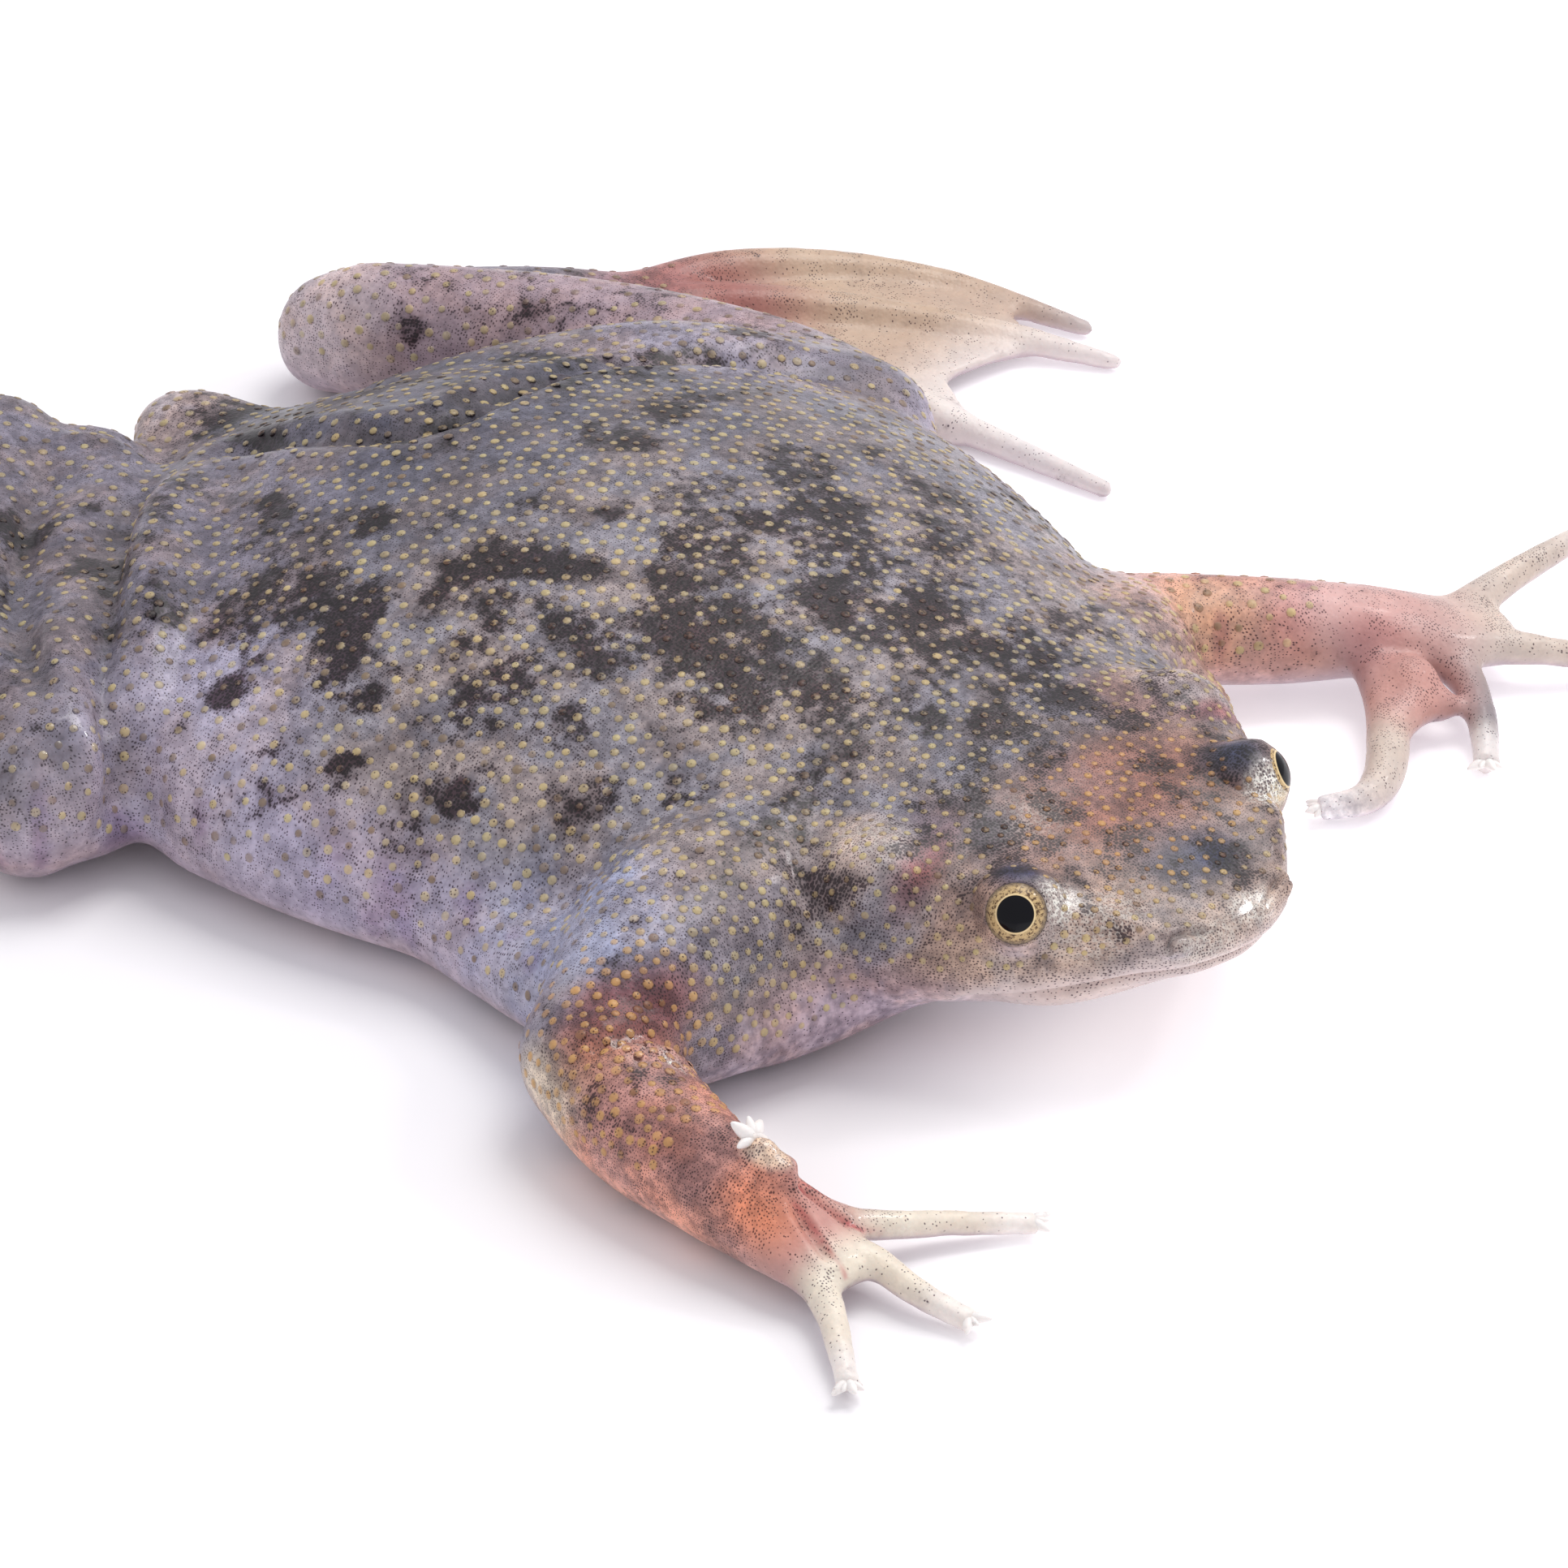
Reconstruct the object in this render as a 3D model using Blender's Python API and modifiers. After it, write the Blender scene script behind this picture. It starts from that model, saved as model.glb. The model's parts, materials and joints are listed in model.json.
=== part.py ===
# Dwarf Surinam toad, life size: a flat, broad, tongueless water frog lying on its belly.
# The head points along -Y, the animal's left side is +X, and the belly rests on z = 0.
# The origin is on the floor under the middle of the belly.
# The flesh is modelled whole from lofts, then parted into nodes by thin cuts at the joints.

import math

import bmesh
import bpy
import numpy as np
from mathutils import Vector
from mathutils.bvhtree import BVHTree

MM = 0.001

# Driving sizes in millimetres
GAP = 0.3               # clearance between neighbouring nodes
SNOUT_Y = -18.75        # front of the snout
VENT_Y = 20.1           # rear end of the trunk, so the snout-vent length is 39 mm
EYE_RADIUS = 0.92
EYE_PLACE = (4.14, -15.05, 4.62)
HEAD_TILT = 0.16        # the head leans a little, so the left eye is this much higher
NOSTRIL_PLACE = (1.75, -18.15, 3.95)
NOSTRIL_RADIUS = 0.22
WEB_THICKNESS = 0.5
WEB_FLOOR_GAP = 0.08
LOBE_LENGTH = 0.62      # the four small lobes of a star-shaped fingertip
LOBE_RADIUS = 0.17
CORE_VOXEL = 0.25
FINE_VOXEL = 0.16
CORE_SMOOTHING = 12
FINE_SMOOTHING = 3
FLESH_TRIANGLES = 7800
RING_POINTS = 28
RINGS_PER_SPAN = 6
SIDES = {"left": 1, "right": -1}

# Cross-sections of head and trunk: place along Y, half width, top, height of the flank's
# widest line, underside, and how square the back and the belly are (2 is an ellipse)
BODY_SECTIONS = [
    (SNOUT_Y, 0.8, 3.75, 3.50, 3.20, 2.4, 2.0),
    (-18.4, 1.55, 4.05, 3.35, 2.85, 2.6, 2.0),
    (-17.6, 2.55, 4.35, 3.20, 2.40, 2.7, 2.0),
    (-16.2, 4.00, 4.75, 2.95, 1.75, 2.9, 2.0),
    (-14.6, 5.40, 5.15, 2.80, 1.15, 3.0, 2.0),
    (-12.4, 6.85, 5.60, 2.65, 0.70, 2.6, 2.2),
    (-9.6, 7.95, 6.00, 2.35, 0.20, 2.0, 2.6),
    (-6.0, 10.00, 6.60, 1.95, -0.30, 1.8, 3.2),
    (-2.0, 11.80, 7.20, 1.90, -0.50, 1.75, 3.5),
    (2.0, 12.90, 7.50, 1.90, -0.50, 1.75, 3.5),
    (5.4, 13.00, 7.40, 1.90, -0.50, 1.75, 3.5),
    (8.6, 11.60, 6.90, 1.90, -0.50, 1.8, 3.4),
    (11.6, 8.60, 6.10, 1.95, -0.50, 1.9, 3.0),
    (14.4, 5.00, 4.70, 2.00, -0.20, 2.0, 2.6),
    (16.7, 2.50, 3.60, 2.00, 0.10, 2.0, 2.2),
    (18.9, 1.70, 3.50, 2.20, 0.60, 2.0, 2.0),
    (VENT_Y, 0.80, 3.00, 2.20, 1.30, 2.0, 2.0),
]

# Loose skin low on the flanks: stations of x, y, z and radius
SKIN_FOLDS = {
    "pectoral_left": [(4.5, -11.6, 1.9, 1.3), (7.0, -10.6, 1.6, 1.3), (8.6, -8.6, 1.6, 1.4)],
    "pectoral_right": [(-4.5, -11.6, 1.9, 1.3), (-7.4, -10.9, 1.5, 1.3),
                       (-10.4, -10.0, 1.6, 1.4)],
    "axilla_right": [(-10.4, -1.5, 1.3, 1.2), (-10.7, -4.5, 1.4, 1.3),
                     (-10.8, -7.5, 1.8, 1.6)],
    "groin_right": [(-3.8, 18.4, 2.2, 1.9), (-5.4, 15.8, 2.2, 1.9), (-9.2, 12.4, 2.3, 1.9)],
}

# Limbs: stations of x, y, z, half width and half height. The left side is the far one in the
# photograph and the right side the near one, so the two poses differ.
LIMBS = {
    "left": {
        "upper_arm": [
            (4.8, -7.8, 3.0, 2.7, 2.3), (8.0, -6.9, 2.5, 2.2, 2.0),
            (9.8, -5.5, 2.0, 1.7, 1.7), (10.5, -4.8, 1.7, 1.5, 1.6),
        ],
        "forearm": [
            (10.5, -4.8, 1.7, 1.5, 1.6), (12.0, -6.3, 1.75, 1.45, 1.5),
            (13.6, -7.8, 1.65, 1.35, 1.4), (15.2, -8.9, 1.5, 1.25, 1.2),
        ],
        "palm": [
            (14.8, -8.6, 1.5, 1.25, 1.2), (16.0, -9.8, 1.35, 1.55, 1.0),
            (17.3, -10.5, 1.15, 1.5, 0.7),
        ],
        "thigh": [
            (2.6, 14.3, 2.3, 1.9, 1.9), (5.2, 12.3, 2.7, 2.4, 2.4),
            (8.8, 9.3, 3.0, 2.6, 2.6), (12.2, 5.9, 2.4, 2.0, 2.2),
        ],
        "shank": [
            (12.4, 5.9, 2.2, 1.9, 2.2), (12.0, 9.6, 2.2, 2.1, 2.3),
            (10.5, 14.5, 2.1, 2.0, 2.2), (7.4, 19.8, 2.1, 1.6, 2.0),
        ],
        "tarsus": [
            (7.0, 20.9, 1.7, 1.45, 1.75), (9.9, 20.0, 1.35, 1.45, 1.45),
            (12.8, 18.2, 1.15, 1.5, 1.2), (14.1, 17.2, 1.0, 1.6, 1.0),
        ],
    },
    "right": {
        "upper_arm": [
            (-4.8, -7.8, 3.0, 3.0, 2.5), (-8.8, -8.6, 2.7, 2.8, 2.5),
            (-11.6, -9.2, 2.3, 2.1, 2.1), (-13.1, -9.5, 2.0, 1.7, 1.8),
        ],
        "forearm": [
            (-13.0, -9.4, 2.0, 1.7, 1.75), (-13.7, -12.0, 1.65, 1.75, 1.7),
            (-14.0, -14.6, 1.45, 1.5, 1.45), (-14.1, -15.9, 1.35, 1.35, 1.3),
        ],
        "palm": [
            (-14.1, -15.6, 1.3, 1.3, 1.2), (-14.0, -17.0, 1.1, 1.4, 0.95),
            (-14.0, -18.1, 0.9, 1.4, 0.6),
        ],
        "thigh": [
            (-1.8, 14.8, 2.3, 2.0, 2.0), (-5.0, 12.8, 2.8, 2.4, 2.4),
            (-9.2, 10.3, 2.9, 2.5, 2.5), (-13.6, 8.0, 2.4, 1.9, 2.2),
        ],
        "shank": [
            (-14.8, 8.3, 2.2, 1.9, 2.2), (-12.8, 11.5, 2.2, 2.1, 2.3),
            (-9.7, 15.5, 2.1, 2.0, 2.2), (-4.5, 20.9, 2.25, 1.8, 2.15),
        ],
        "tarsus": [
            (-4.5, 22.3, 1.75, 1.5, 1.85), (-7.8, 22.9, 1.5, 1.5, 1.6),
            (-11.6, 22.8, 1.2, 1.5, 1.3), (-13.3, 22.5, 1.0, 1.6, 1.0),
        ],
    },
}

# Fingers, first to fourth from the inner side: stations of x, y, z and radius. The right
# hand's first finger stands up, bent back over the wrist.
FINGERS = {
    "left": [
        [(14.8, -9.7, 1.2, 0.70), (13.4, -11.3, 0.95, 0.62), (11.7, -12.8, 0.65, 0.56),
         (10.3, -13.4, 0.5, 0.48), (9.4, -12.7, 0.36, 0.40)],
        [(16.2, -10.9, 1.1, 0.60), (15.7, -12.1, 0.85, 0.48), (14.8, -13.3, 0.6, 0.42),
         (13.9, -14.2, 0.34, 0.36)],
        [(17.0, -10.9, 1.1, 0.60), (17.9, -11.8, 1.0, 0.46), (18.9, -12.8, 0.8, 0.38),
         (20.8, -14.1, 0.32, 0.33)],
        [(17.2, -10.0, 1.3, 0.62), (19.5, -9.8, 1.45, 0.46), (21.5, -10.1, 1.8, 0.36),
         (22.5, -10.3, 2.0, 0.33)],
    ],
    "right": [
        [(-13.5, -15.9, 1.5, 0.50), (-13.55, -15.95, 2.2, 0.50), (-13.7, -15.4, 2.75, 0.36),
         (-13.85, -15.1, 3.0, 0.32)],
        [(-13.2, -17.0, 1.2, 0.52), (-12.4, -17.9, 0.9, 0.42), (-10.6, -18.9, 0.55, 0.34),
         (-8.9, -20.1, 0.3, 0.31)],
        [(-13.7, -17.4, 1.0, 0.54), (-13.1, -19.0, 0.75, 0.42), (-13.1, -20.3, 0.55, 0.37),
         (-12.8, -21.8, 0.3, 0.32)],
        [(-14.3, -17.6, 0.9, 0.54), (-14.9, -19.2, 0.65, 0.42), (-15.7, -20.4, 0.5, 0.36),
         (-16.6, -21.6, 0.3, 0.31)],
    ],
}

# Toes of the left foot, first to fifth from the inner side, as they lie from the ankle at
# TOE_ROOT: stations of x, y, z and radius. The right foot is this one, mirrored and turned.
TOE_ROOT = (13.4, 17.2)
TOES = [
    [(0.3, -0.6, 0.9, 0.62), (1.4, -3.0, 0.55, 0.50), (2.1, -5.2, 0.32, 0.38),
     (2.3, -6.7, 0.22, 0.28)],
    [(0.5, -0.5, 1.0, 0.66), (2.0, -4.2, 0.65, 0.54), (2.9, -8.0, 0.36, 0.40),
     (3.2, -10.4, 0.22, 0.28)],
    [(0.6, -0.3, 1.1, 0.70), (2.8, -5.2, 0.8, 0.58), (3.5, -10.5, 0.42, 0.44),
     (4.0, -15.1, 0.22, 0.28)],
    [(0.6, 0.0, 1.2, 0.74), (4.2, -3.4, 1.05, 0.62), (7.4, -7.4, 0.6, 0.46),
     (9.2, -10.6, 0.22, 0.28)],
    [(0.4, 0.3, 1.2, 0.74), (4.8, -1.2, 1.15, 0.62), (8.4, -4.4, 0.65, 0.46),
     (10.0, -8.8, 0.22, 0.28)],
]
WEB_FROM = 0.08         # where along a toe the web starts, and the share of the toe it reaches
WEB_REACH = (0.80, 0.80, 0.78, 0.82, 0.84)
WEB_BAY = 0.22          # how far the free edge bays in, as a share of the gap between toes
RIGHT_FOOT_ROOT = (-12.8, 22.7)
RIGHT_FOOT_TURN = math.radians(-29)

# Cuts between nodes, as lines in plan view from open space to open space
CUTS = {
    "neck": [(-9.6, -13.6), (-6.2, -13.2), (-4.0, -12.7), (4.0, -12.7), (6.2, -13.2),
             (9.6, -13.6)],
    "left": {
        "shoulder": [(7.2, -13.4), (7.7, -9.5), (8.4, -6.6), (9.6, -4.0), (13.4, -1.4)],
        "elbow": [(10.1, -9.4), (10.5, -5.2), (10.75, -3.2)],
        "wrist": [(13.0, -10.4), (16.2, -6.6)],
        "hip": [(15.0, 2.4), (11.2, 5.0), (7.4, 8.8), (3.0, 12.6), (2.6, 20.6)],
        "knee": [(15.2, 3.2), (11.9, 7.0), (9.4, 11.7), (6.0, 16.0), (3.6, 20.6)],
        "heel": [(4.8, 23.0), (8.7, 19.2), (12.3, 15.7), (13.0, 13.6)],
        "ankle": [(11.5, 16.2), (15.2, 19.6)],
    },
    "right": {
        "shoulder": [(-13.4, -2.2), (-10.6, -5.0), (-9.6, -8.0), (-8.4, -12.8)],
        "elbow": [(-10.7, -11.7), (-15.7, -7.1)],
        "wrist": [(-11.7, -14.1), (-16.4, -14.1)],
        "hip": [(-17.0, 4.0), (-12.4, 5.4), (-9.6, 8.2), (-6.6, 10.6), (-4.0, 13.0),
                (-2.7, 16.2), (-2.5, 21.8)],
        "knee": [(-18.0, 5.2), (-13.9, 7.7), (-11.6, 10.1), (-9.8, 12.7), (-7.2, 16.3),
                 (-4.9, 18.6), (-2.5, 19.3)],
        "heel": [(-2.3, 24.2), (-6.2, 21.7), (-11.2, 19.6), (-12.6, 18.6)],
        "ankle": [(-11.8, 20.6), (-12.1, 25.2)],
    },
}
MOUTH_SIDE_VIEW = [(-20.5, 3.35), (-17.4, 3.00), (-14.6, 2.35), (-14.0, 1.8), (-14.0, -2.0)]

# One point inside each node, for naming the pieces that the cuts leave
SEEDS = {
    "head": (0.0, -15.0, 3.9),
    "lower_jaw": (0.0, -15.4, 2.05),
    "torso": (0.0, 2.0, 3.0),
}

SKIN_COLOURS = {
    "back": (0.235, 0.215, 0.215),
    "limb": (0.33, 0.22, 0.185),
    "digit": (0.52, 0.43, 0.33),
}


def clear_scene():
    for obj in list(bpy.data.objects):
        bpy.data.objects.remove(obj, do_unlink=True)


def new_collection(name, hidden=False):
    made = bpy.data.collections.new(name)
    made.hide_render = hidden
    bpy.context.scene.collection.children.link(made)
    return made


def material(name, colour, roughness):
    made = bpy.data.materials.new(name)
    made.use_nodes = True
    shader = made.node_tree.nodes["Principled BSDF"]
    shader.inputs["Base Color"].default_value = (*colour, 1.0)
    shader.inputs["Roughness"].default_value = roughness
    shader.inputs["Metallic"].default_value = 0.0
    return made


def object_from(name, points, faces, collection):
    mesh = bpy.data.meshes.new(name)
    mesh.from_pydata([Vector(p) * MM for p in points], [], faces)
    mesh.validate()
    made = bpy.data.objects.new(name, mesh)
    collection.objects.link(made)
    return made


def smooth_path(stations, per_span=RINGS_PER_SPAN):
    """Rows of a Catmull-Rom curve through the stations, each row as wide as a station."""
    rows = np.array(stations, float)
    ahead = np.vstack([2 * rows[0] - rows[1], rows, 2 * rows[-1] - rows[-2]])
    made = []
    for i in range(len(rows) - 1):
        a, b, c, d = ahead[i:i + 4]
        for t in np.linspace(0, 1, per_span, endpoint=False):
            made.append(0.5 * (2 * b + (c - a) * t + (2 * a - 5 * b + 4 * c - d) * t * t
                               + (3 * b - a - 3 * c + d) * t ** 3))
    made.append(rows[-1])
    return np.array(made)


def loft(name, rings, collection):
    """One closed solid through rings of equal point count, capped at both ends."""
    count = len(rings[0])
    points = [p for ring in rings for p in ring]
    faces = [
        [r * count + i, r * count + (i + 1) % count,
         (r + 1) * count + (i + 1) % count, (r + 1) * count + i]
        for r in range(len(rings) - 1) for i in range(count)
    ]
    faces.append(list(range(count))[::-1])
    faces.append([(len(rings) - 1) * count + i for i in range(count)])
    made = object_from(name, points, faces, collection)
    edit = bmesh.new()
    edit.from_mesh(made.data)
    bmesh.ops.recalc_face_normals(edit, faces=edit.faces)
    edit.to_mesh(made.data)
    edit.free()
    return made


def tube(name, stations, collection):
    """A limb or digit: elliptical rings square to a smooth path, with round ends."""
    rows = smooth_path([s if len(s) == 5 else (*s, s[3]) for s in stations])
    places = rows[:, :3]
    ways = np.gradient(places, axis=0)
    ways /= np.linalg.norm(ways, axis=1)[:, None]
    caps = np.radians((72, 48, 24))
    start = [(places[0] - ways[0] * rows[0, 3] * math.sin(a), ways[0],
              rows[0, 3:] * math.cos(a)) for a in caps]
    middle = [(places[i], ways[i], rows[i, 3:]) for i in range(len(rows))]
    end = [(places[-1] + ways[-1] * rows[-1, 3] * math.sin(a), ways[-1],
            rows[-1, 3:] * math.cos(a)) for a in caps[::-1]]
    rings = []
    for place, way, (wide, high) in start + middle + end:
        side = np.cross(way, (0, 0, 1.0))
        if np.linalg.norm(side) < 0.35:
            side = np.cross(way, (0, 1.0, 0))
        side /= np.linalg.norm(side)
        up = np.cross(side, way)
        turn = np.linspace(0, 2 * math.pi, RING_POINTS, endpoint=False)
        rings.append([place + side * wide * math.cos(a) + up * high * math.sin(a)
                      for a in turn])
    return loft(name, rings, collection)


def ball(name, place, radius, collection, scale=(1, 1, 1)):
    mesh = bpy.data.meshes.new(name)
    edit = bmesh.new()
    bmesh.ops.create_uvsphere(edit, u_segments=18, v_segments=12, radius=radius * MM)
    bmesh.ops.scale(edit, vec=scale, verts=edit.verts)
    bmesh.ops.translate(edit, vec=Vector(place) * MM, verts=edit.verts)
    edit.to_mesh(mesh)
    edit.free()
    made = bpy.data.objects.new(name, mesh)
    collection.objects.link(made)
    return made


def trunk_and_head(collection):
    """The low, wide body in one loft from snout to vent."""
    rings = []
    for y, wide, top, flank, under, back, belly in smooth_path(BODY_SECTIONS, 4):
        ring = []
        for a in np.linspace(0, 2 * math.pi, 2 * RING_POINTS, endpoint=False):
            c, s = math.cos(a), math.sin(a)
            power = 2 / (back if s > 0 else belly)
            rise = (top - flank) if s > 0 else (flank - under)
            ring.append((wide * math.copysign(abs(c) ** power, c), y,
                         flank + rise * math.copysign(abs(s) ** power, s)))
        rings.append(ring)
    return loft("trunk_and_head", rings, collection)


def head_forms(collection):
    """Orbits, ear bulges, nostril rims and the ridge from nostril to eye, on both sides."""
    nx, ny, nz = NOSTRIL_PLACE
    made = []
    for name, side in SIDES.items():
        ex, ey, ez = eye_place(name)
        made.append(ball("orbit", (ex, ey, ez - 0.25), 1.25, collection))
        made.append(ball("ear_bulge", (side * 5.1, -11.6, 4.1), 1.5, collection))
        made.append(ball("nostril_rim", (side * nx, ny, nz - 0.12), 0.42, collection))
        ridge = [(side * nx, ny + 0.3, nz - 0.35, 0.45), (side * 2.6, -16.8, 4.05, 0.65),
                 (ex - side * 0.5, ey - 0.3, ez - 0.35, 0.85)]
        made.append(tube("brow_ridge", ridge, collection))
    return made


def eye_place(side):
    x, y, z = EYE_PLACE
    return (SIDES[side] * x, y, z + SIDES[side] * HEAD_TILT)


def star_tip(name, stations, collection):
    """Four small lobes that fan out from a fingertip."""
    end, before = np.array(stations[-1][:3]), np.array(stations[-2][:3])
    way = (end - before) / np.linalg.norm(end - before)
    side = np.cross(way, (0, 0, 1.0))
    side /= np.linalg.norm(side)
    up = np.cross(side, way)
    radius = stations[-1][3]
    made = []
    for k, spread in enumerate((-42, -15, 15, 42)):
        a = math.radians(spread)
        lean = 0.12 if k in (1, 2) else -0.10
        lie = way * math.cos(a) + side * math.sin(a) + up * lean
        root = end + side * math.sin(a) * radius * 0.45
        stretch = [(*root, LOBE_RADIUS), (*(root + lie * (radius + LOBE_LENGTH) * 0.6),
                                          LOBE_RADIUS * 0.95),
                   (*(root + lie * (radius + LOBE_LENGTH)), LOBE_RADIUS * 0.75)]
        made.append(tube(f"{name}_lobe{k}", stretch, collection))
    return made


def toe_stations(side):
    """The toes of one foot in the part's frame."""
    placed = []
    for toe in TOES:
        rows = []
        for x, y, z, radius in toe:
            if side == "left":
                rows.append((TOE_ROOT[0] + x, TOE_ROOT[1] + y, z, radius))
            else:
                c, s = math.cos(RIGHT_FOOT_TURN), math.sin(RIGHT_FOOT_TURN)
                rows.append((RIGHT_FOOT_ROOT[0] - x * c - y * s,
                             RIGHT_FOOT_ROOT[1] - x * s + y * c, z, radius))
        placed.append(rows)
    return placed


def web(name, inner, outer, reach, collection):
    """The membrane between two toes: a thin sheet with a bayed free edge."""
    first, second = smooth_path(inner, 8), smooth_path(outer, 8)
    lo = int(WEB_FROM * len(first))
    first = first[lo:int(reach[0] * len(first)) + 1]
    second = second[lo:int(reach[1] * len(second)) + 1]
    across = 9
    share = np.linspace(0, 1, across)
    rows = []
    count = min(len(first), len(second))
    for t in np.linspace(0, 1, count):
        a = first[min(int(round(t * (len(first) - 1))), len(first) - 1), :3]
        b = second[min(int(round(t * (len(second) - 1))), len(second) - 1), :3]
        rows.append([a + (b - a) * s for s in share])
    rows = np.array(rows)
    wide = np.linalg.norm(rows[-1, -1] - rows[-1, 0])
    along = np.linspace(0, 1, count)[:, None] ** 2
    back = rows[0].mean(0) - rows[-1].mean(0)
    back /= np.linalg.norm(back)
    bay = (4 * share * (1 - share))[None, :] * along * wide * WEB_BAY * 2
    rows += bay[:, :, None] * back
    rows[:, :, 2] = np.minimum(rows[:, :, 2] * 0.8, 1.0)
    low = np.maximum(rows[:, :, 2] - WEB_THICKNESS / 2, WEB_FLOOR_GAP)
    rings = []
    for i in range(count):
        under = [(*rows[i, j, :2], low[i, j]) for j in range(across)]
        over = [(*rows[i, j, :2], low[i, j] + WEB_THICKNESS) for j in range(across)][::-1]
        rings.append(under + over)
    return loft(name, rings, collection)


def finger_parts(side, collection):
    made = []
    for k, stations in enumerate(FINGERS[side]):
        made.append(tube(f"finger{k}_{side}", stations, collection))
        made += star_tip(f"finger{k}_{side}", stations, collection)
    return made


def foot_parts(side, collection):
    toes = toe_stations(side)
    made = [tube(f"toe{k}_{side}", rows, collection) for k, rows in enumerate(toes)]
    for k in range(len(toes) - 1):
        made.append(web(f"web{k}_{side}", toes[k], toes[k + 1],
                        WEB_REACH[k:k + 2], collection))
    return made


def fused(name, pieces, voxel, smoothing, collection):
    """All pieces as one closed skin: joined, remeshed on a fine grid and smoothed."""
    edit = bmesh.new()
    for piece in pieces:
        edit.from_mesh(piece.data)
        bpy.data.objects.remove(piece, do_unlink=True)
    mesh = bpy.data.meshes.new(name)
    edit.to_mesh(mesh)
    edit.free()
    made = bpy.data.objects.new(name, mesh)
    collection.objects.link(made)
    remesh = made.modifiers.new("Remesh", "REMESH")
    remesh.mode = "VOXEL"
    remesh.voxel_size = voxel * MM
    soft = made.modifiers.new("Smooth", "SMOOTH")
    soft.factor = 0.5
    soft.iterations = smoothing
    return applied(made)


def applied(obj):
    """The object with its modifiers made part of its mesh."""
    graph = bpy.context.evaluated_depsgraph_get()
    mesh = bpy.data.meshes.new_from_object(obj.evaluated_get(graph), depsgraph=graph)
    obj.modifiers.clear()
    old, obj.data = obj.data, mesh
    bpy.data.meshes.remove(old)
    return obj


def largest_body(obj):
    """Keeps only the largest connected surface, so a sealed hollow or a scrap is gone."""
    edit = bmesh.new()
    edit.from_mesh(obj.data)
    scraps = [edit.verts[i] for group in loose_groups(edit)[1:] for i in group]
    bmesh.ops.delete(edit, geom=scraps, context="VERTS")
    edit.to_mesh(obj.data)
    edit.free()
    return obj


def subtract(obj, cutter, solver="EXACT"):
    cut = obj.modifiers.new("Cut", "BOOLEAN")
    cut.operation = "DIFFERENCE"
    cut.solver = solver
    cut.object = cutter
    return applied(obj)


def box(name, low, high, collection):
    mesh = bpy.data.meshes.new(name)
    edit = bmesh.new()
    bmesh.ops.create_cube(edit, size=1.0)
    size = Vector(high) - Vector(low)
    bmesh.ops.scale(edit, vec=size * MM, verts=edit.verts)
    bmesh.ops.translate(edit, vec=(Vector(low) + size / 2) * MM, verts=edit.verts)
    edit.to_mesh(mesh)
    edit.free()
    made = bpy.data.objects.new(name, mesh)
    made.display_type = "WIRE"
    made.hide_render = True
    collection.objects.link(made)
    return made


def thin_wall(name, line, stretch, collection):
    """A sheet one gap thick: a line of points, stretched along a vector and thickened."""
    line = [Vector(p) for p in line]
    count = len(line)
    points = line + [p + Vector(stretch) for p in line]
    faces = [[i, i + 1, count + i + 1, count + i] for i in range(count - 1)]
    made = object_from(name, points, faces, collection)
    solid = made.modifiers.new("Solidify", "SOLIDIFY")
    solid.thickness = GAP * MM
    solid.offset = 0
    solid.use_even_offset = True
    made.display_type = "WIRE"
    made.hide_render = True
    return applied(made)


def upright_cut(name, plan, collection, low=-1.0, high=9.0):
    return thin_wall(name, [(x, y, low) for x, y in plan], (0, 0, high - low), collection)


def joint_cutters(collection):
    made = [upright_cut("neck_cut", CUTS["neck"], collection)]
    for side in SIDES:
        for joint, plan in CUTS[side].items():
            made.append(upright_cut(f"{joint}_cut_{side}", plan, collection))
    line = [(-9.5, y, z) for y, z in MOUTH_SIDE_VIEW]
    made.append(thin_wall("mouth_cut", line, (19.0, 0, 0), collection))
    return made


def node_seeds():
    """A point inside each flesh node, read from the sizes that placed it."""
    seeds = dict(SEEDS)
    for side in SIDES:
        for limb in ("upper_arm", "forearm", "thigh", "shank", "tarsus"):
            rows = smooth_path(LIMBS[side][limb])
            share = {"upper_arm": 0.75, "thigh": 0.6}.get(limb, 0.5)
            seeds[f"{limb}_{side}"] = tuple(rows[int(share * (len(rows) - 1))][:3])
        seeds[f"hand_{side}"] = LIMBS[side]["palm"][1][:3]
        middle = toe_stations(side)[3][1]
        seeds[f"foot_{side}"] = middle[:3]
    return seeds


def loose_groups(edit):
    """The connected surfaces of a mesh, each as a list of vertex numbers, largest first."""
    edit.verts.ensure_lookup_table()
    seen, groups = set(), []
    for start in edit.verts:
        if start.index in seen:
            continue
        seen.add(start.index)
        queue, members = [start], []
        while queue:
            vertex = queue.pop()
            members.append(vertex.index)
            for edge in vertex.link_edges:
                other = edge.other_vert(vertex)
                if other.index not in seen:
                    seen.add(other.index)
                    queue.append(other)
        groups.append(members)
    return sorted(groups, key=len, reverse=True)


def holds(tree, place):
    """Whether a point lies inside a closed surface, by counting crossings straight up."""
    start = Vector(place) * MM + Vector((1.3e-6, 0.7e-6, 0))
    crossings = 0
    while True:
        hit, _, _, _ = tree.ray_cast(start, Vector((0, 0, 1)))
        if hit is None:
            return crossings % 2 == 1
        crossings += 1
        start = hit + Vector((0, 0, 1e-7))


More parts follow.
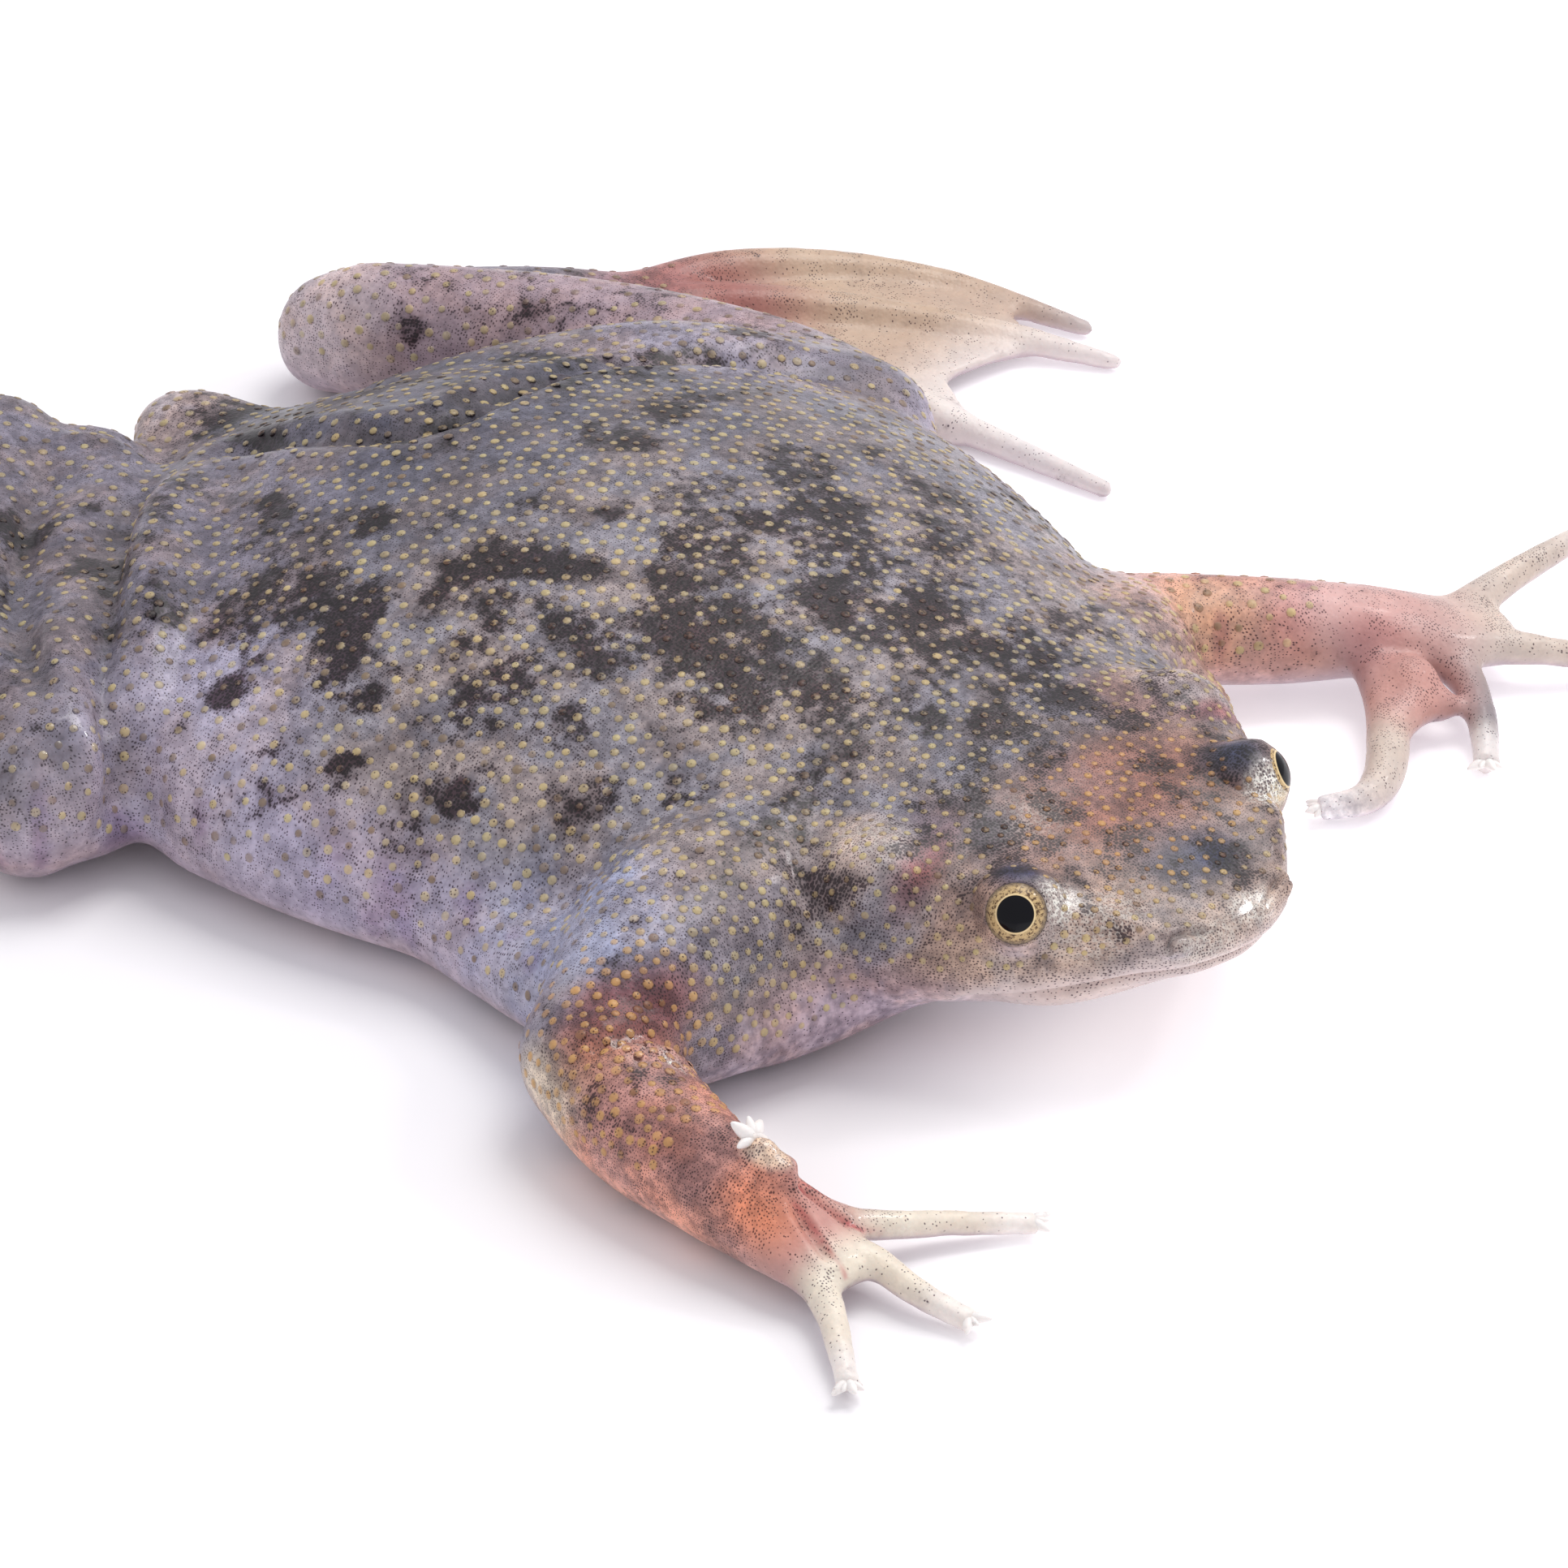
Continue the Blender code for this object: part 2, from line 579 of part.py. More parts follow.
def named_pieces(whole, collection):
    """Parts the cut flesh into its loose pieces and names each by the seed it holds."""
    edit = bmesh.new()
    edit.from_mesh(whole.data)
    groups = loose_groups(edit)
    points = [v.co / MM for v in edit.verts]
    faces = [[v.index for v in f.verts] for f in edit.faces]
    edit.free()
    bpy.data.objects.remove(whole, do_unlink=True)
    solids = []
    for members in groups:
        new_number = {old: new for new, old in enumerate(members)}
        solids.append(([points[i] for i in members],
                       [[new_number[i] for i in f] for f in faces if f[0] in new_number]))
    trees = [BVHTree.FromPolygons([p * MM for p in own], sides) for own, sides in solids]
    claimed = {}
    for name, seed in node_seeds().items():
        inside = [k for k, tree in enumerate(trees) if holds(tree, seed)]
        if not inside:
            raise ValueError(f"no piece of flesh holds the seed of {name}")
        if inside[0] in claimed:
            raise ValueError(f"{name} and {claimed[inside[0]]} are one piece")
        claimed[inside[0]] = name
    for k, (own, _) in enumerate(solids):
        if k not in claimed:
            middle = sum(own, Vector()) / len(own)
            print("scrap left out:", len(own), "points near", [round(c, 1) for c in middle])
    return {name: object_from(name, *solids[k], collection)
            for k, name in claimed.items()}


def cut_head(pieces, cutters):
    """Sockets for the eyes and the two small nostril pits."""
    nx, ny, nz = NOSTRIL_PLACE
    for name, side in SIDES.items():
        socket = ball("socket", eye_place(name), EYE_RADIUS + GAP, cutters)
        subtract(pieces["head"], socket)
        pit = ball("pit", (side * (nx + 0.10), ny - 0.18, nz + 0.22), NOSTRIL_RADIUS,
                   cutters, (1.0, 1.3, 1.2))
        subtract(pieces["head"], pit)
        for cutter in (socket, pit):
            bpy.data.objects.remove(cutter, do_unlink=True)


def eyes(collection):
    return {f"eye_{side}": ball(f"eye_{side}", eye_place(side), EYE_RADIUS, collection)
            for side in SIDES}


def finish_of(name):
    if name.startswith("eye"):
        return "eye"
    if name in ("torso", "head", "lower_jaw"):
        return "back"
    if name.startswith(("hand", "foot")):
        return "digit"
    return "limb"


def main():
    clear_scene()
    parts = new_collection("dwarf_surinam_toad")
    cutters = new_collection("cutters", hidden=True)

    core = [trunk_and_head(parts), *head_forms(parts)]
    core += [tube(name, stations, parts) for name, stations in SKIN_FOLDS.items()]
    for side in SIDES:
        for name, stations in LIMBS[side].items():
            core.append(tube(f"{name}_{side}", stations, parts))
    flesh = fused("flesh", core, CORE_VOXEL, CORE_SMOOTHING, parts)
    digits = [piece for side in SIDES
              for piece in finger_parts(side, parts) + foot_parts(side, parts)]
    flesh = fused("flesh", [flesh, *digits], FINE_VOXEL, FINE_SMOOTHING, parts)
    flesh = largest_body(flesh)

    floor = box("floor_cut", (-60, -60, -20), (60, 60, 0), cutters)
    subtract(flesh, floor, "MANIFOLD")
    thin = flesh.modifiers.new("Decimate", "DECIMATE")
    thin.ratio = FLESH_TRIANGLES / sum(len(p.vertices) - 2 for p in flesh.data.polygons)
    thin.use_collapse_triangulate = True
    applied(flesh)
    for cutter in joint_cutters(cutters):
        subtract(flesh, cutter, "MANIFOLD")
    pieces = named_pieces(flesh, parts)
    cut_head(pieces, cutters)
    pieces.update(eyes(parts))

    finishes = {name: material(f"skin_{name}", colour, 0.45)
                for name, colour in SKIN_COLOURS.items()}
    finishes["eye"] = material("eye", (0.02, 0.02, 0.02), 0.1)
    for name, piece in pieces.items():
        piece.data.materials.clear()
        piece.data.materials.append(finishes[finish_of(name)])
        piece.data.shade_smooth()


main()
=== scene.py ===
# %% [markdown]
# # A dwarf Surinam toad, life size
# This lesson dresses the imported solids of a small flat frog-like animal in a moist, mottled skin.
# The solids already have the right size, place and pose, so every step here adds only looks: one
# continuous skin, thousands of low tubercles on it, star-like lobes on the fingertips, two wet
# eyes, and soft studio light. Lengths are written in millimetres, and MM turns them into metres.

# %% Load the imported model
import itertools
import json
import math

import bpy
import numpy as np
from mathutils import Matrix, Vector, noise
from mathutils.bvhtree import BVHTree

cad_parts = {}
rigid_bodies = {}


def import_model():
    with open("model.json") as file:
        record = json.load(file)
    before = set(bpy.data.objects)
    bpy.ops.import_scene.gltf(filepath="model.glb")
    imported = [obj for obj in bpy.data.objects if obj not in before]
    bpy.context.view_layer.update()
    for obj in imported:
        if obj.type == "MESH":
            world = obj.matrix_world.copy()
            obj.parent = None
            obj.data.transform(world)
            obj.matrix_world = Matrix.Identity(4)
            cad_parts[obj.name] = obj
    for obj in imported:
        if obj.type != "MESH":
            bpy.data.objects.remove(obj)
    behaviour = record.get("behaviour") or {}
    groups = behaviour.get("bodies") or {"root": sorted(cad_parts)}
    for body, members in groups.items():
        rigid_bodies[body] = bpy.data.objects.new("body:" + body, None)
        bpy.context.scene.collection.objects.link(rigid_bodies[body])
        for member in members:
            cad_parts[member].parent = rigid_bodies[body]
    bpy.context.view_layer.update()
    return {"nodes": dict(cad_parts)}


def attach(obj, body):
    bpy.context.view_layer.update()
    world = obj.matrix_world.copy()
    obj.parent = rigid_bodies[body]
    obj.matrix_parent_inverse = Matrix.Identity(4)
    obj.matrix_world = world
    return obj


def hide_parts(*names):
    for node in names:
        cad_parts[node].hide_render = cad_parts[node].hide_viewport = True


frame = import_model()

MM = 0.001
flesh_nodes = sorted(name for name in frame["nodes"] if not name.startswith("eye_"))
print("flesh nodes:", len(flesh_nodes), "of", len(frame["nodes"]))


def only(piece):
    """Selects one object alone and makes it the active one."""
    bpy.ops.object.select_all(action="DESELECT")
    piece.select_set(True)
    bpy.context.view_layer.objects.active = piece


def modify(piece, kind, **settings):
    """Adds a modifier to a piece, sets it up and applies it."""
    only(piece)
    bpy.ops.object.modifier_add(type=kind)
    modifier = piece.modifiers[-1]
    for key, value in settings.items():
        setattr(modifier, key, value)
    bpy.ops.object.modifier_apply(modifier=modifier.name)


def new_ball(radius, segments, rings, place=(0, 0, 0)):
    """Adds a ball, with its radius and place in millimetres."""
    bpy.ops.object.select_all(action="DESELECT")
    bpy.ops.mesh.primitive_uv_sphere_add(
        segments=segments, ring_count=rings, radius=radius * MM, location=Vector(place) * MM)
    return bpy.context.object


def shade_smooth(piece):
    """Lets the light run smoothly over a piece's faces."""
    for polygon in piece.data.polygons:
        polygon.use_smooth = True


# %% [markdown]
# ## The camera
# The picture was taken from the animal's front right, looking down at about 32 degrees, with a long
# lens. A long lens flattens the perspective, so the far eye is nearly as large as the near one.
# The camera could be turned by eye, but here it is placed from three facts: the point it looks at,
# the direction of view and the distance.

# %% Camera
LOOK_AT = Vector((-1.14, -4.31, 2.06)) * MM
VIEW_ELEVATION = math.radians(31.7)
VIEW_HEADING = math.radians(44.6)
VIEW_DISTANCE = 240 * MM
SENSOR_WIDTH = 36
PICTURE_WIDTH, FOCAL_LENGTH = 1932, 12000  # in pixels of the picture

view_direction = Vector((
    math.cos(VIEW_HEADING) * math.cos(VIEW_ELEVATION),
    math.sin(VIEW_HEADING) * math.cos(VIEW_ELEVATION),
    -math.sin(VIEW_ELEVATION),
))
bpy.ops.object.select_all(action="DESELECT")
bpy.ops.object.camera_add(location=LOOK_AT - view_direction * VIEW_DISTANCE)
camera = bpy.context.object
camera.rotation_euler = view_direction.to_track_quat("-Z", "Y").to_euler()
camera.data.sensor_width = SENSOR_WIDTH
camera.data.lens = SENSOR_WIDTH * FOCAL_LENGTH / PICTURE_WIDTH
camera.data.clip_start = 0.01
camera.data.clip_end = 20
bpy.context.scene.camera = camera
print("camera lens:", round(camera.data.lens, 1), "mm")

# %% [markdown]
# ## Helpers for materials
# Every material below is a small tree of nodes. These helpers add a node and feed each of its
# inputs in one call, with a value or with a link from another node. Placing the nodes by hand
# gives the same trees, but a call is easier to read and to repeat.

# %% Node helpers
def feed(tree, socket, source):
    """Gives an input its value, or a link where the source is another node's socket."""
    if isinstance(source, bpy.types.NodeSocket):
        tree.links.new(source, socket)
    else:
        socket.default_value = source


def node(tree, kind, inputs=None, **settings):
    """Adds a node, sets its options and feeds its inputs."""
    made = tree.nodes.new(kind)
    for key, value in settings.items():
        setattr(made, key, value)
    for key, source in (inputs or {}).items():
        feed(tree, made.inputs[key], source)
    return made


def calc(tree, operation, *sources):
    """One step of arithmetic on sockets and numbers."""
    return node(tree, "ShaderNodeMath", dict(enumerate(sources)), operation=operation).outputs[0]


def rise(tree, value, low, high, to_low=0.0, to_high=1.0):
    """A smooth step from to_low to to_high as the value goes from low to high."""
    inputs = {"Value": value, "From Min": low, "From Max": high, "To Min": to_low, "To Max": to_high}
    return node(tree, "ShaderNodeMapRange", inputs, interpolation_type="SMOOTHSTEP").outputs["Result"]


def clouds(tree, place, scale, detail, roughness=0.5):
    """A noise pattern, with its scale in features per metre."""
    inputs = {"Vector": place, "Scale": scale, "Detail": detail, "Roughness": roughness}
    return node(tree, "ShaderNodeTexNoise", inputs).outputs["Fac"]


def mixed(tree, factor, a, b, blend="MIX"):
    """Mixes two colours, each a socket or an RGBA value."""
    inputs = {0: factor, 6: a, 7: b}
    made = node(tree, "ShaderNodeMix", inputs, data_type="RGBA", blend_type=blend, clamp_factor=True)
    return made.outputs[2]


def either(tree, choice, a, b):
    """One of two vectors: a where the choice is 0, b where it is 1."""
    return node(tree, "ShaderNodeMix", {0: choice, 4: a, 5: b}, data_type="VECTOR").outputs[1]


def stored(tree, name, output="Fac"):
    """What is stored on a piece's points under this name."""
    return node(tree, "ShaderNodeAttribute", attribute_name=name).outputs[output]


def new_group(name, inputs, outputs):
    """An empty shader node group: each input is (name, type, default), each output (name, type)."""
    group = bpy.data.node_groups.new(name, "ShaderNodeTree")
    for label, kind, default in inputs:
        socket = group.interface.new_socket(name=label, in_out="INPUT", socket_type=kind)
        socket.default_value = default
    for label, kind in outputs:
        group.interface.new_socket(name=label, in_out="OUTPUT", socket_type=kind)
    return group, group.nodes.new("NodeGroupInput").outputs, group.nodes.new("NodeGroupOutput").inputs


def new_finish(name):
    """A new material and its tree of nodes."""
    made = bpy.data.materials.new(name)
    made.use_nodes = True
    return made, made.node_tree


def feed_shader(tree, inputs):
    """Feeds the inputs of a material's surface shader."""
    for label, source in inputs.items():
        feed(tree, tree.nodes["Principled BSDF"].inputs[label], source)


# %% [markdown]
# ## Light and floor
# The animal sits on a white ground inside a white surround, so light reaches it from all sides and
# its shadows are pale, lilac and close to the body. A bright white world does most of the work,
# one broad lamp above the far right gives the form, and a small lamp beside it puts the tiny wet
# glints on snout, elbow and shank. A few more glints on the snout and elbow are painted white into
# the skin's colour. The floor is one large plane, which glows a little towards the camera's right,
# because the shadows fade out there. The plain Standard view keeps the colours as they are written
# below.

# %% Light and floor
scene = bpy.context.scene
scene.view_settings.view_transform = "Standard"
scene.view_settings.look = "None"
world = scene.world or bpy.data.worlds.new("studio")
scene.world = world
world.use_nodes = True
surround = world.node_tree.nodes["Background"].inputs
surround["Color"].default_value = (0.97, 0.96, 1.0, 1)
surround["Strength"].default_value = 0.80


def lamp(name, place, size, power, colour=(1, 1, 1)):
    """A square area lamp that faces the middle of the animal."""
    bpy.ops.object.light_add(type="AREA", location=Vector(place) * MM)
    made = bpy.context.object
    made.name = name
    made.data.size = size * MM
    made.data.energy = power
    made.data.color = colour
    made.rotation_euler = (LOOK_AT - made.location).to_track_quat("-Z", "Y").to_euler()


lamp("soft_key", (110, 10, 240), 150, 0.32, (1.0, 0.98, 0.96))
lamp("glint", (150, -70, 150), 24, 0.05)

FLOOR_SIZE = 6000
FLOOR_DROP = 0.04
GLOW, GLOW_START, GLOW_FULL = 0.34, 3, 10
bpy.ops.mesh.primitive_plane_add(size=FLOOR_SIZE * MM)
floor = bpy.context.object
floor.name = "floor"
floor.location = (0, 0, -FLOOR_DROP * MM)
bpy.ops.object.transform_apply(location=True)
floor_finish, tree = new_finish("white_ground")
place = node(tree, "ShaderNodeTexCoord").outputs["Object"]
to_the_right = (math.sin(VIEW_HEADING), -math.cos(VIEW_HEADING), 0)
rightward = node(tree, "ShaderNodeVectorMath", {0: place, 1: to_the_right}, operation="DOT_PRODUCT")
feed_shader(tree, {
    "Base Color": (0.93, 0.92, 0.94, 1), "Roughness": 0.6, "Specular IOR Level": 0.2,
    "Emission Color": (0.98, 0.97, 1.0, 1),
    "Emission Strength": rise(tree, rightward.outputs["Value"], GLOW_START * MM, GLOW_FULL * MM, 0.0, GLOW),
})
floor.data.materials.append(floor_finish)

# %% [markdown]
# ## One skin over all the flesh
# The solids meet with thin gaps, as parts of a kit do, but a living animal has one skin. Each
# flesh node is copied, and where it faces its neighbour across a gap its points are pulled through
# to the other side, so that the copies overlap there and nowhere else. A voxel remesh then
# rebuilds them as one even surface. Swelling everything would close the gaps too, but it would
# also fill the spaces between the fingers.

# %% Read and write a piece's points
def rows_of(items, label, width, kind=np.float32):
    """One property of every item of a mesh, as an array with a row for each item."""
    flat = np.empty(len(items) * width, dtype=kind)
    items.foreach_get(label, flat)
    return flat.reshape(-1, width)


def points_of(piece):
    """The vertices of a piece as an array, in millimetres."""
    return rows_of(piece.data.vertices, "co", 3).astype(float) / MM


def normals_of(piece):
    """The vertex normals of a piece as an array."""
    return rows_of(piece.data.vertex_normals, "vector", 3).astype(float)


def move_points(piece, points):
    """Writes an array of places in millimetres back to the vertices."""
    piece.data.vertices.foreach_set("co", (points * MM).astype(np.float32).ravel())
    piece.data.update()


def faces_of(piece):
    """A search tree over a piece's faces, in metres."""
    return BVHTree.FromObject(piece, bpy.context.evaluated_depsgraph_get())


# %% Copy the flesh and stitch it across the gaps
GAP_REACH = 0.42
OVERLAP = 0.06
WELD = 0.001
solids = {name: faces_of(frame["nodes"][name]) for name in flesh_nodes}
copies = []
for name in flesh_nodes:
    only(frame["nodes"][name])
    bpy.ops.object.duplicate()
    copy = bpy.context.object
    bpy.ops.object.parent_clear(type="CLEAR_KEEP_TRANSFORM")
    bpy.ops.object.mode_set(mode="EDIT")
    bpy.ops.mesh.select_all(action="SELECT")
    bpy.ops.mesh.remove_doubles(threshold=WELD * MM)
    bpy.ops.object.mode_set(mode="OBJECT")
    others = [solid for other, solid in solids.items() if other != name]
    for vertex in copy.data.vertices:
        hits = [solid.find_nearest(vertex.co, GAP_REACH * MM) for solid in others]
        hits = [(hit[3], hit[0]) for hit in hits if hit[0] is not None]
        gap, spot = min(hits, key=lambda hit: hit[0], default=(0, None))
        if gap > 0:
            vertex.co = spot + (spot - vertex.co).normalized() * OVERLAP * MM
    copies.append(copy)
print("copied", len(copies), "flesh nodes")

# %% [markdown]
# The eyes have no lids: the skin runs straight over each eyeball and leaves only the iris clear.
# So the hollow that the solids keep for each eye is filled with a ball first, and the skin is
# shaped over the eye later. Smaller balls round out two places on the hands.

# %% Fill the eye hollows, join and rebuild
EYE_PLACE = {"left": (4.05, -15.06, 4.55), "right": (-4.14, -15.05, 4.46)}
EYE_AXIS = {"left": (0.570, -0.697, 0.435), "right": (-0.682, -0.533, 0.50)}
EYE_RADIUS = 0.92
HOLLOW = 1.16
VOXEL = 0.13

BALLS = [(place, HOLLOW) for place in EYE_PLACE.values()]
# the bulb of the near hand's raised first finger
BALLS += [((-13.72, -16.55, 2.36), 0.48), ((-13.76, -16.10, 2.72), 0.36)]
# the broad palm of the far hand
BALLS += [((14.3, -11.3, 1.3), 0.75), ((13.8, -11.8, 1.05), 0.62), ((14.5, -12.1, 0.9), 0.5),
          ((13.3, -12.0, 1.0), 0.5)]
copies += [new_ball(radius, 40, 24, place) for place, radius in BALLS]
bpy.ops.object.select_all(action="DESELECT")
for copy in copies:
    copy.select_set(True)
bpy.context.view_layer.objects.active = copies[0]
bpy.ops.object.join()
skin = bpy.context.object
skin.name = "skin"
skin.data.name = "skin"
bpy.ops.object.transform_apply(location=True, rotation=True, scale=True)
skin.data.materials.clear()
modify(skin, "REMESH", mode="VOXEL", voxel_size=VOXEL * MM)
print("skin:", len(skin.data.vertices), "vertices")


# %% [markdown]
# ## Smooth where the body is smooth
# The trunk and legs are rounded flesh, so the facets of the solids have to go there, while the
# fingers, toes and eyes would shrink if they were smoothed as much. A vertex group gives each
# region its share, and the smooth modifier reads it.

# %% Soft masks
def ramp(value, low, high):
    """0 below low, 1 above high, and a smooth rise between them."""
    t = np.clip((value - low) / (high - low), 0, 1)
    return t * t * (3 - 2 * t)


def bell(value, width):
    """1 where the value is 0, fading to 0 on both sides."""
    return np.exp(-(value / width) ** 2)


def far_from(points, place):
    """The distance of every point from a place."""
    return np.linalg.norm(points - np.array(place), axis=1)


def blob(points, centre, radii, turn=0.0, soft=0.5):
    """A soft egg-shaped mask: 1 inside, 0 outside. A missing z radius reaches through the body."""
    shift = points[:, : len(radii)] - np.array(centre[: len(radii)])
    c, s = math.cos(math.radians(turn)), math.sin(math.radians(turn))
    across = shift[:, 0] * c + shift[:, 1] * s
    along = -shift[:, 0] * s + shift[:, 1] * c
    far = (across / radii[0]) ** 2 + (along / radii[1]) ** 2
    if len(radii) > 2:
        far = far + (shift[:, 2] / radii[2]) ** 2
    return 1 - ramp(np.sqrt(far), 1 - soft, 1 + soft)


def by_both_eyes(points, centre, radii, soft):
    """A mask on both sides of the head. The left eye lies a little higher than the right one."""
    x, y, z = centre
    places = [(side * x, y, z + 0.1 * side) for side in (1, -1)]
    return np.maximum.reduce([blob(points, place, radii, 0, soft) for place in places])


def set_group(piece, name, weights):
    """A vertex group with a weight for every vertex, in steps of a tenth."""
    group = piece.vertex_groups.new(name=name)
    for level in range(1, 11):
        chosen = np.flatnonzero(np.round(weights * 10).astype(int) == level)
        if len(chosen):
            group.add(chosen.tolist(), level / 10, "REPLACE")


def smooth_by(piece, weights, turns):
    """Runs the smooth modifier with a weight for every vertex."""
    set_group(piece, "share", weights)
    modify(piece, "SMOOTH", factor=0.5, iterations=turns, vertex_group="share")
    piece.vertex_groups.clear()


DIGITS = [((-13, -19.6), (7, 4.9)), ((17.5, -10.8), (8.5, 4.4)), ((19.5, 9.5), (6, 9)),
          ((-21, 17.5), (7.5, 8.5))]


def digits_at(points, soft=0.15):
    """1 on the hands and feet, 0 elsewhere."""
    return np.maximum.reduce([blob(points, centre, radii, 0, soft) for centre, radii in DIGITS])


# %% Smooth the skin by region
spots = points_of(skin)
digits = np.maximum(digits_at(spots), blob(spots, (-13.6, -16.0, 3.2), (1.4, 1.8, 1.6), 0, 0.2))
head_area = ramp(-spots[:, 1], 12.2, 13.6) * (np.abs(spots[:, 0]) < 7.5)
share = np.clip(1 - 0.9 * digits - 0.6 * head_area, 0.1, 1)
smooth_by(skin, share * (1 - digits), 56)
# the crown runs over to each eye without a step, and the far palm has no edges
smooth_by(skin, by_both_eyes(spots, (4.0, -15.1, 4.5), (2.0, 2.0, 1.9), 0.25), 36)
smooth_by(skin, blob(spots, (14.1, -11.7, 1.2), (1.7, 1.6, 1.3), 0, 0.3), 30)
smooth_by(skin, by_both_eyes(spots, (3.2, -14.4, 5.2), (1.7, 1.9, 1.3), 0.3), 90)
smooth_by(skin, np.ones(len(spots)), 4)
print("smoothed, box now", [round(float(v), 2) for v in np.ptp(points_of(skin), axis=0)])

# %% [markdown]
# ## Points where they are needed
# The mouth line, nostrils and eye rims are only a tenth of a millimetre wide, while the back is
# smooth for millimetres. Decimate thins the trunk and legs, with a vertex group that spares
# the head and hands, and the finest places then get one more subdivision.

# %% Thin the trunk
KEPT_SHARE = 0.36
spots = points_of(skin)
spare = np.maximum(digits_at(spots), ramp(-spots[:, 1], 12.0, 13.2) * (np.abs(spots[:, 0]) < 7.5))
set_group(skin, "thin", 1 - 0.8 * spare)
modify(skin, "DECIMATE", ratio=KEPT_SHARE, vertex_group="thin", vertex_group_factor=1.0)
skin.vertex_groups.clear()
print("thinned to", len(skin.data.polygons), "faces")

# %% Refine the eyes, mouth, snout and near palm
spots = points_of(skin)
x, y, z = spots.T
fine = (y < -14.0) & (np.abs(x) < 7) & (z > 1.6) & (z < 3.7)
fine |= (y < -17.2) & (np.abs(x) < 4) & (z > 1.6)
fine |= (np.abs(x + 13.9) < 1.6) & (y > -19.6) & (y < -16.2)
for place in EYE_PLACE.values():
    fine |= far_from(spots, place) < 1.45
only(skin)
bpy.ops.object.mode_set(mode="EDIT")
bpy.ops.mesh.select_mode(type="VERT")
bpy.ops.mesh.select_all(action="DESELECT")
bpy.ops.object.mode_set(mode="OBJECT")
skin.data.vertices.foreach_set("select", fine)
bpy.ops.object.mode_set(mode="EDIT")
bpy.ops.mesh.select_mode(type="FACE")
bpy.ops.mesh.subdivide(number_cuts=1, smoothness=0.4)
bpy.ops.mesh.select_all(action="DESELECT")
bpy.ops.object.mode_set(mode="OBJECT")
print("skin:", len(skin.data.vertices), "vertices,", len(skin.data.polygons), "faces")

# %% [markdown]
# ## Folds, lips and nostrils
# Loose wet skin folds at the neck, armpit, groin and along the back edge of the body dome, and the
# mouth is a fine line under a pale lip. Each fold is a line through a few named points: the skin
# sinks along it and swells a little beside it. Sculpting by hand would do the same, but a line
# with a width and a depth can be read and changed.

# %% Fold and swelling helpers
def distance_to_line(points, line):
    """The distance from every point to a line of straight runs, and how far along the line it is."""
    best = np.full(len(points), 1e9)
    where = np.zeros(len(points))
    runs = list(zip(line[:-1], line[1:]))
    for index, (a, b) in enumerate(runs):
        a, b = np.array(a, float), np.array(b, float)
        way = b - a
        t = np.clip((points - a) @ way / (way @ way), 0, 1)
        gap = np.linalg.norm(points - a - t[:, None] * way, axis=1)
        closer = gap < best
        best[closer] = gap[closer]
        where[closer] = (index + t[closer]) / len(runs)
    return best, where


def smooth_line(line, steps=8):
    """A rounded line through the given points."""
    line = [np.array(p, float) for p in line]
    line = [2 * line[0] - line[1]] + line + [2 * line[-1] - line[-2]]
    made = []
    for p0, p1, p2, p3 in zip(line, line[1:], line[2:], line[3:]):
        for t in np.linspace(0, 1, steps, endpoint=False):
            made.append(0.5 * (2 * p1 + (p2 - p0) * t + (2 * p0 - 5 * p1 + 4 * p2 - p3) * t * t
                               + (3 * p1 - p0 - 3 * p2 + p3) * t ** 3))
    made.append(line[-2])
    return made


def on_skin(places, faces):
    """Puts plan-view places (x, y) on the top of the skin."""
    found = []
    for x, y in places:
        hit = faces.ray_cast(Vector((x, y, 30)) * MM, Vector((0, 0, -1)))
        found.append(np.array(hit[0]) / MM if hit[0] is not None else np.array((x, y, 2.0)))
    return found


def fold(points, normals, line, width, depth, lip=0.35):
    """Sinks the skin along a line and raises a soft lip on both sides of it."""
    far, where = distance_to_line(points, smooth_line(line))
    taper = ramp(where, 0, 0.18) * ramp(1 - where, 0, 0.18)
    shape = bell(far, width) - lip * bell(far - 2.1 * width, 1.1 * width)
    return points - normals * (shape * taper * depth)[:, None]


# %% Fold the skin and draw in the finger ends
# Where each finger ends and which way it points. The first is the near hand's raised finger.
FINGER_ENDS = [
    ((-13.76, -15.74, 2.97), (-0.25, 0.75, 0.6)), ((-8.9, -20.1, 0.38), (0.8, -0.58, -0.1)),
    ((-12.8, -21.8, 0.38), (0.15, -0.98, -0.1)), ((-16.6, -21.6, 0.38), (-0.6, -0.79, -0.1)),
    ((9.4, -12.7, 0.4), (-0.78, 0.6, -0.1)), ((13.9, -14.2, 0.4), (-0.7, -0.7, -0.1)),
    ((20.8, -14.1, 0.4), (0.8, -0.57, -0.15)), ((22.5, -10.3, 2), (0.96, -0.2, 0.18)),
]
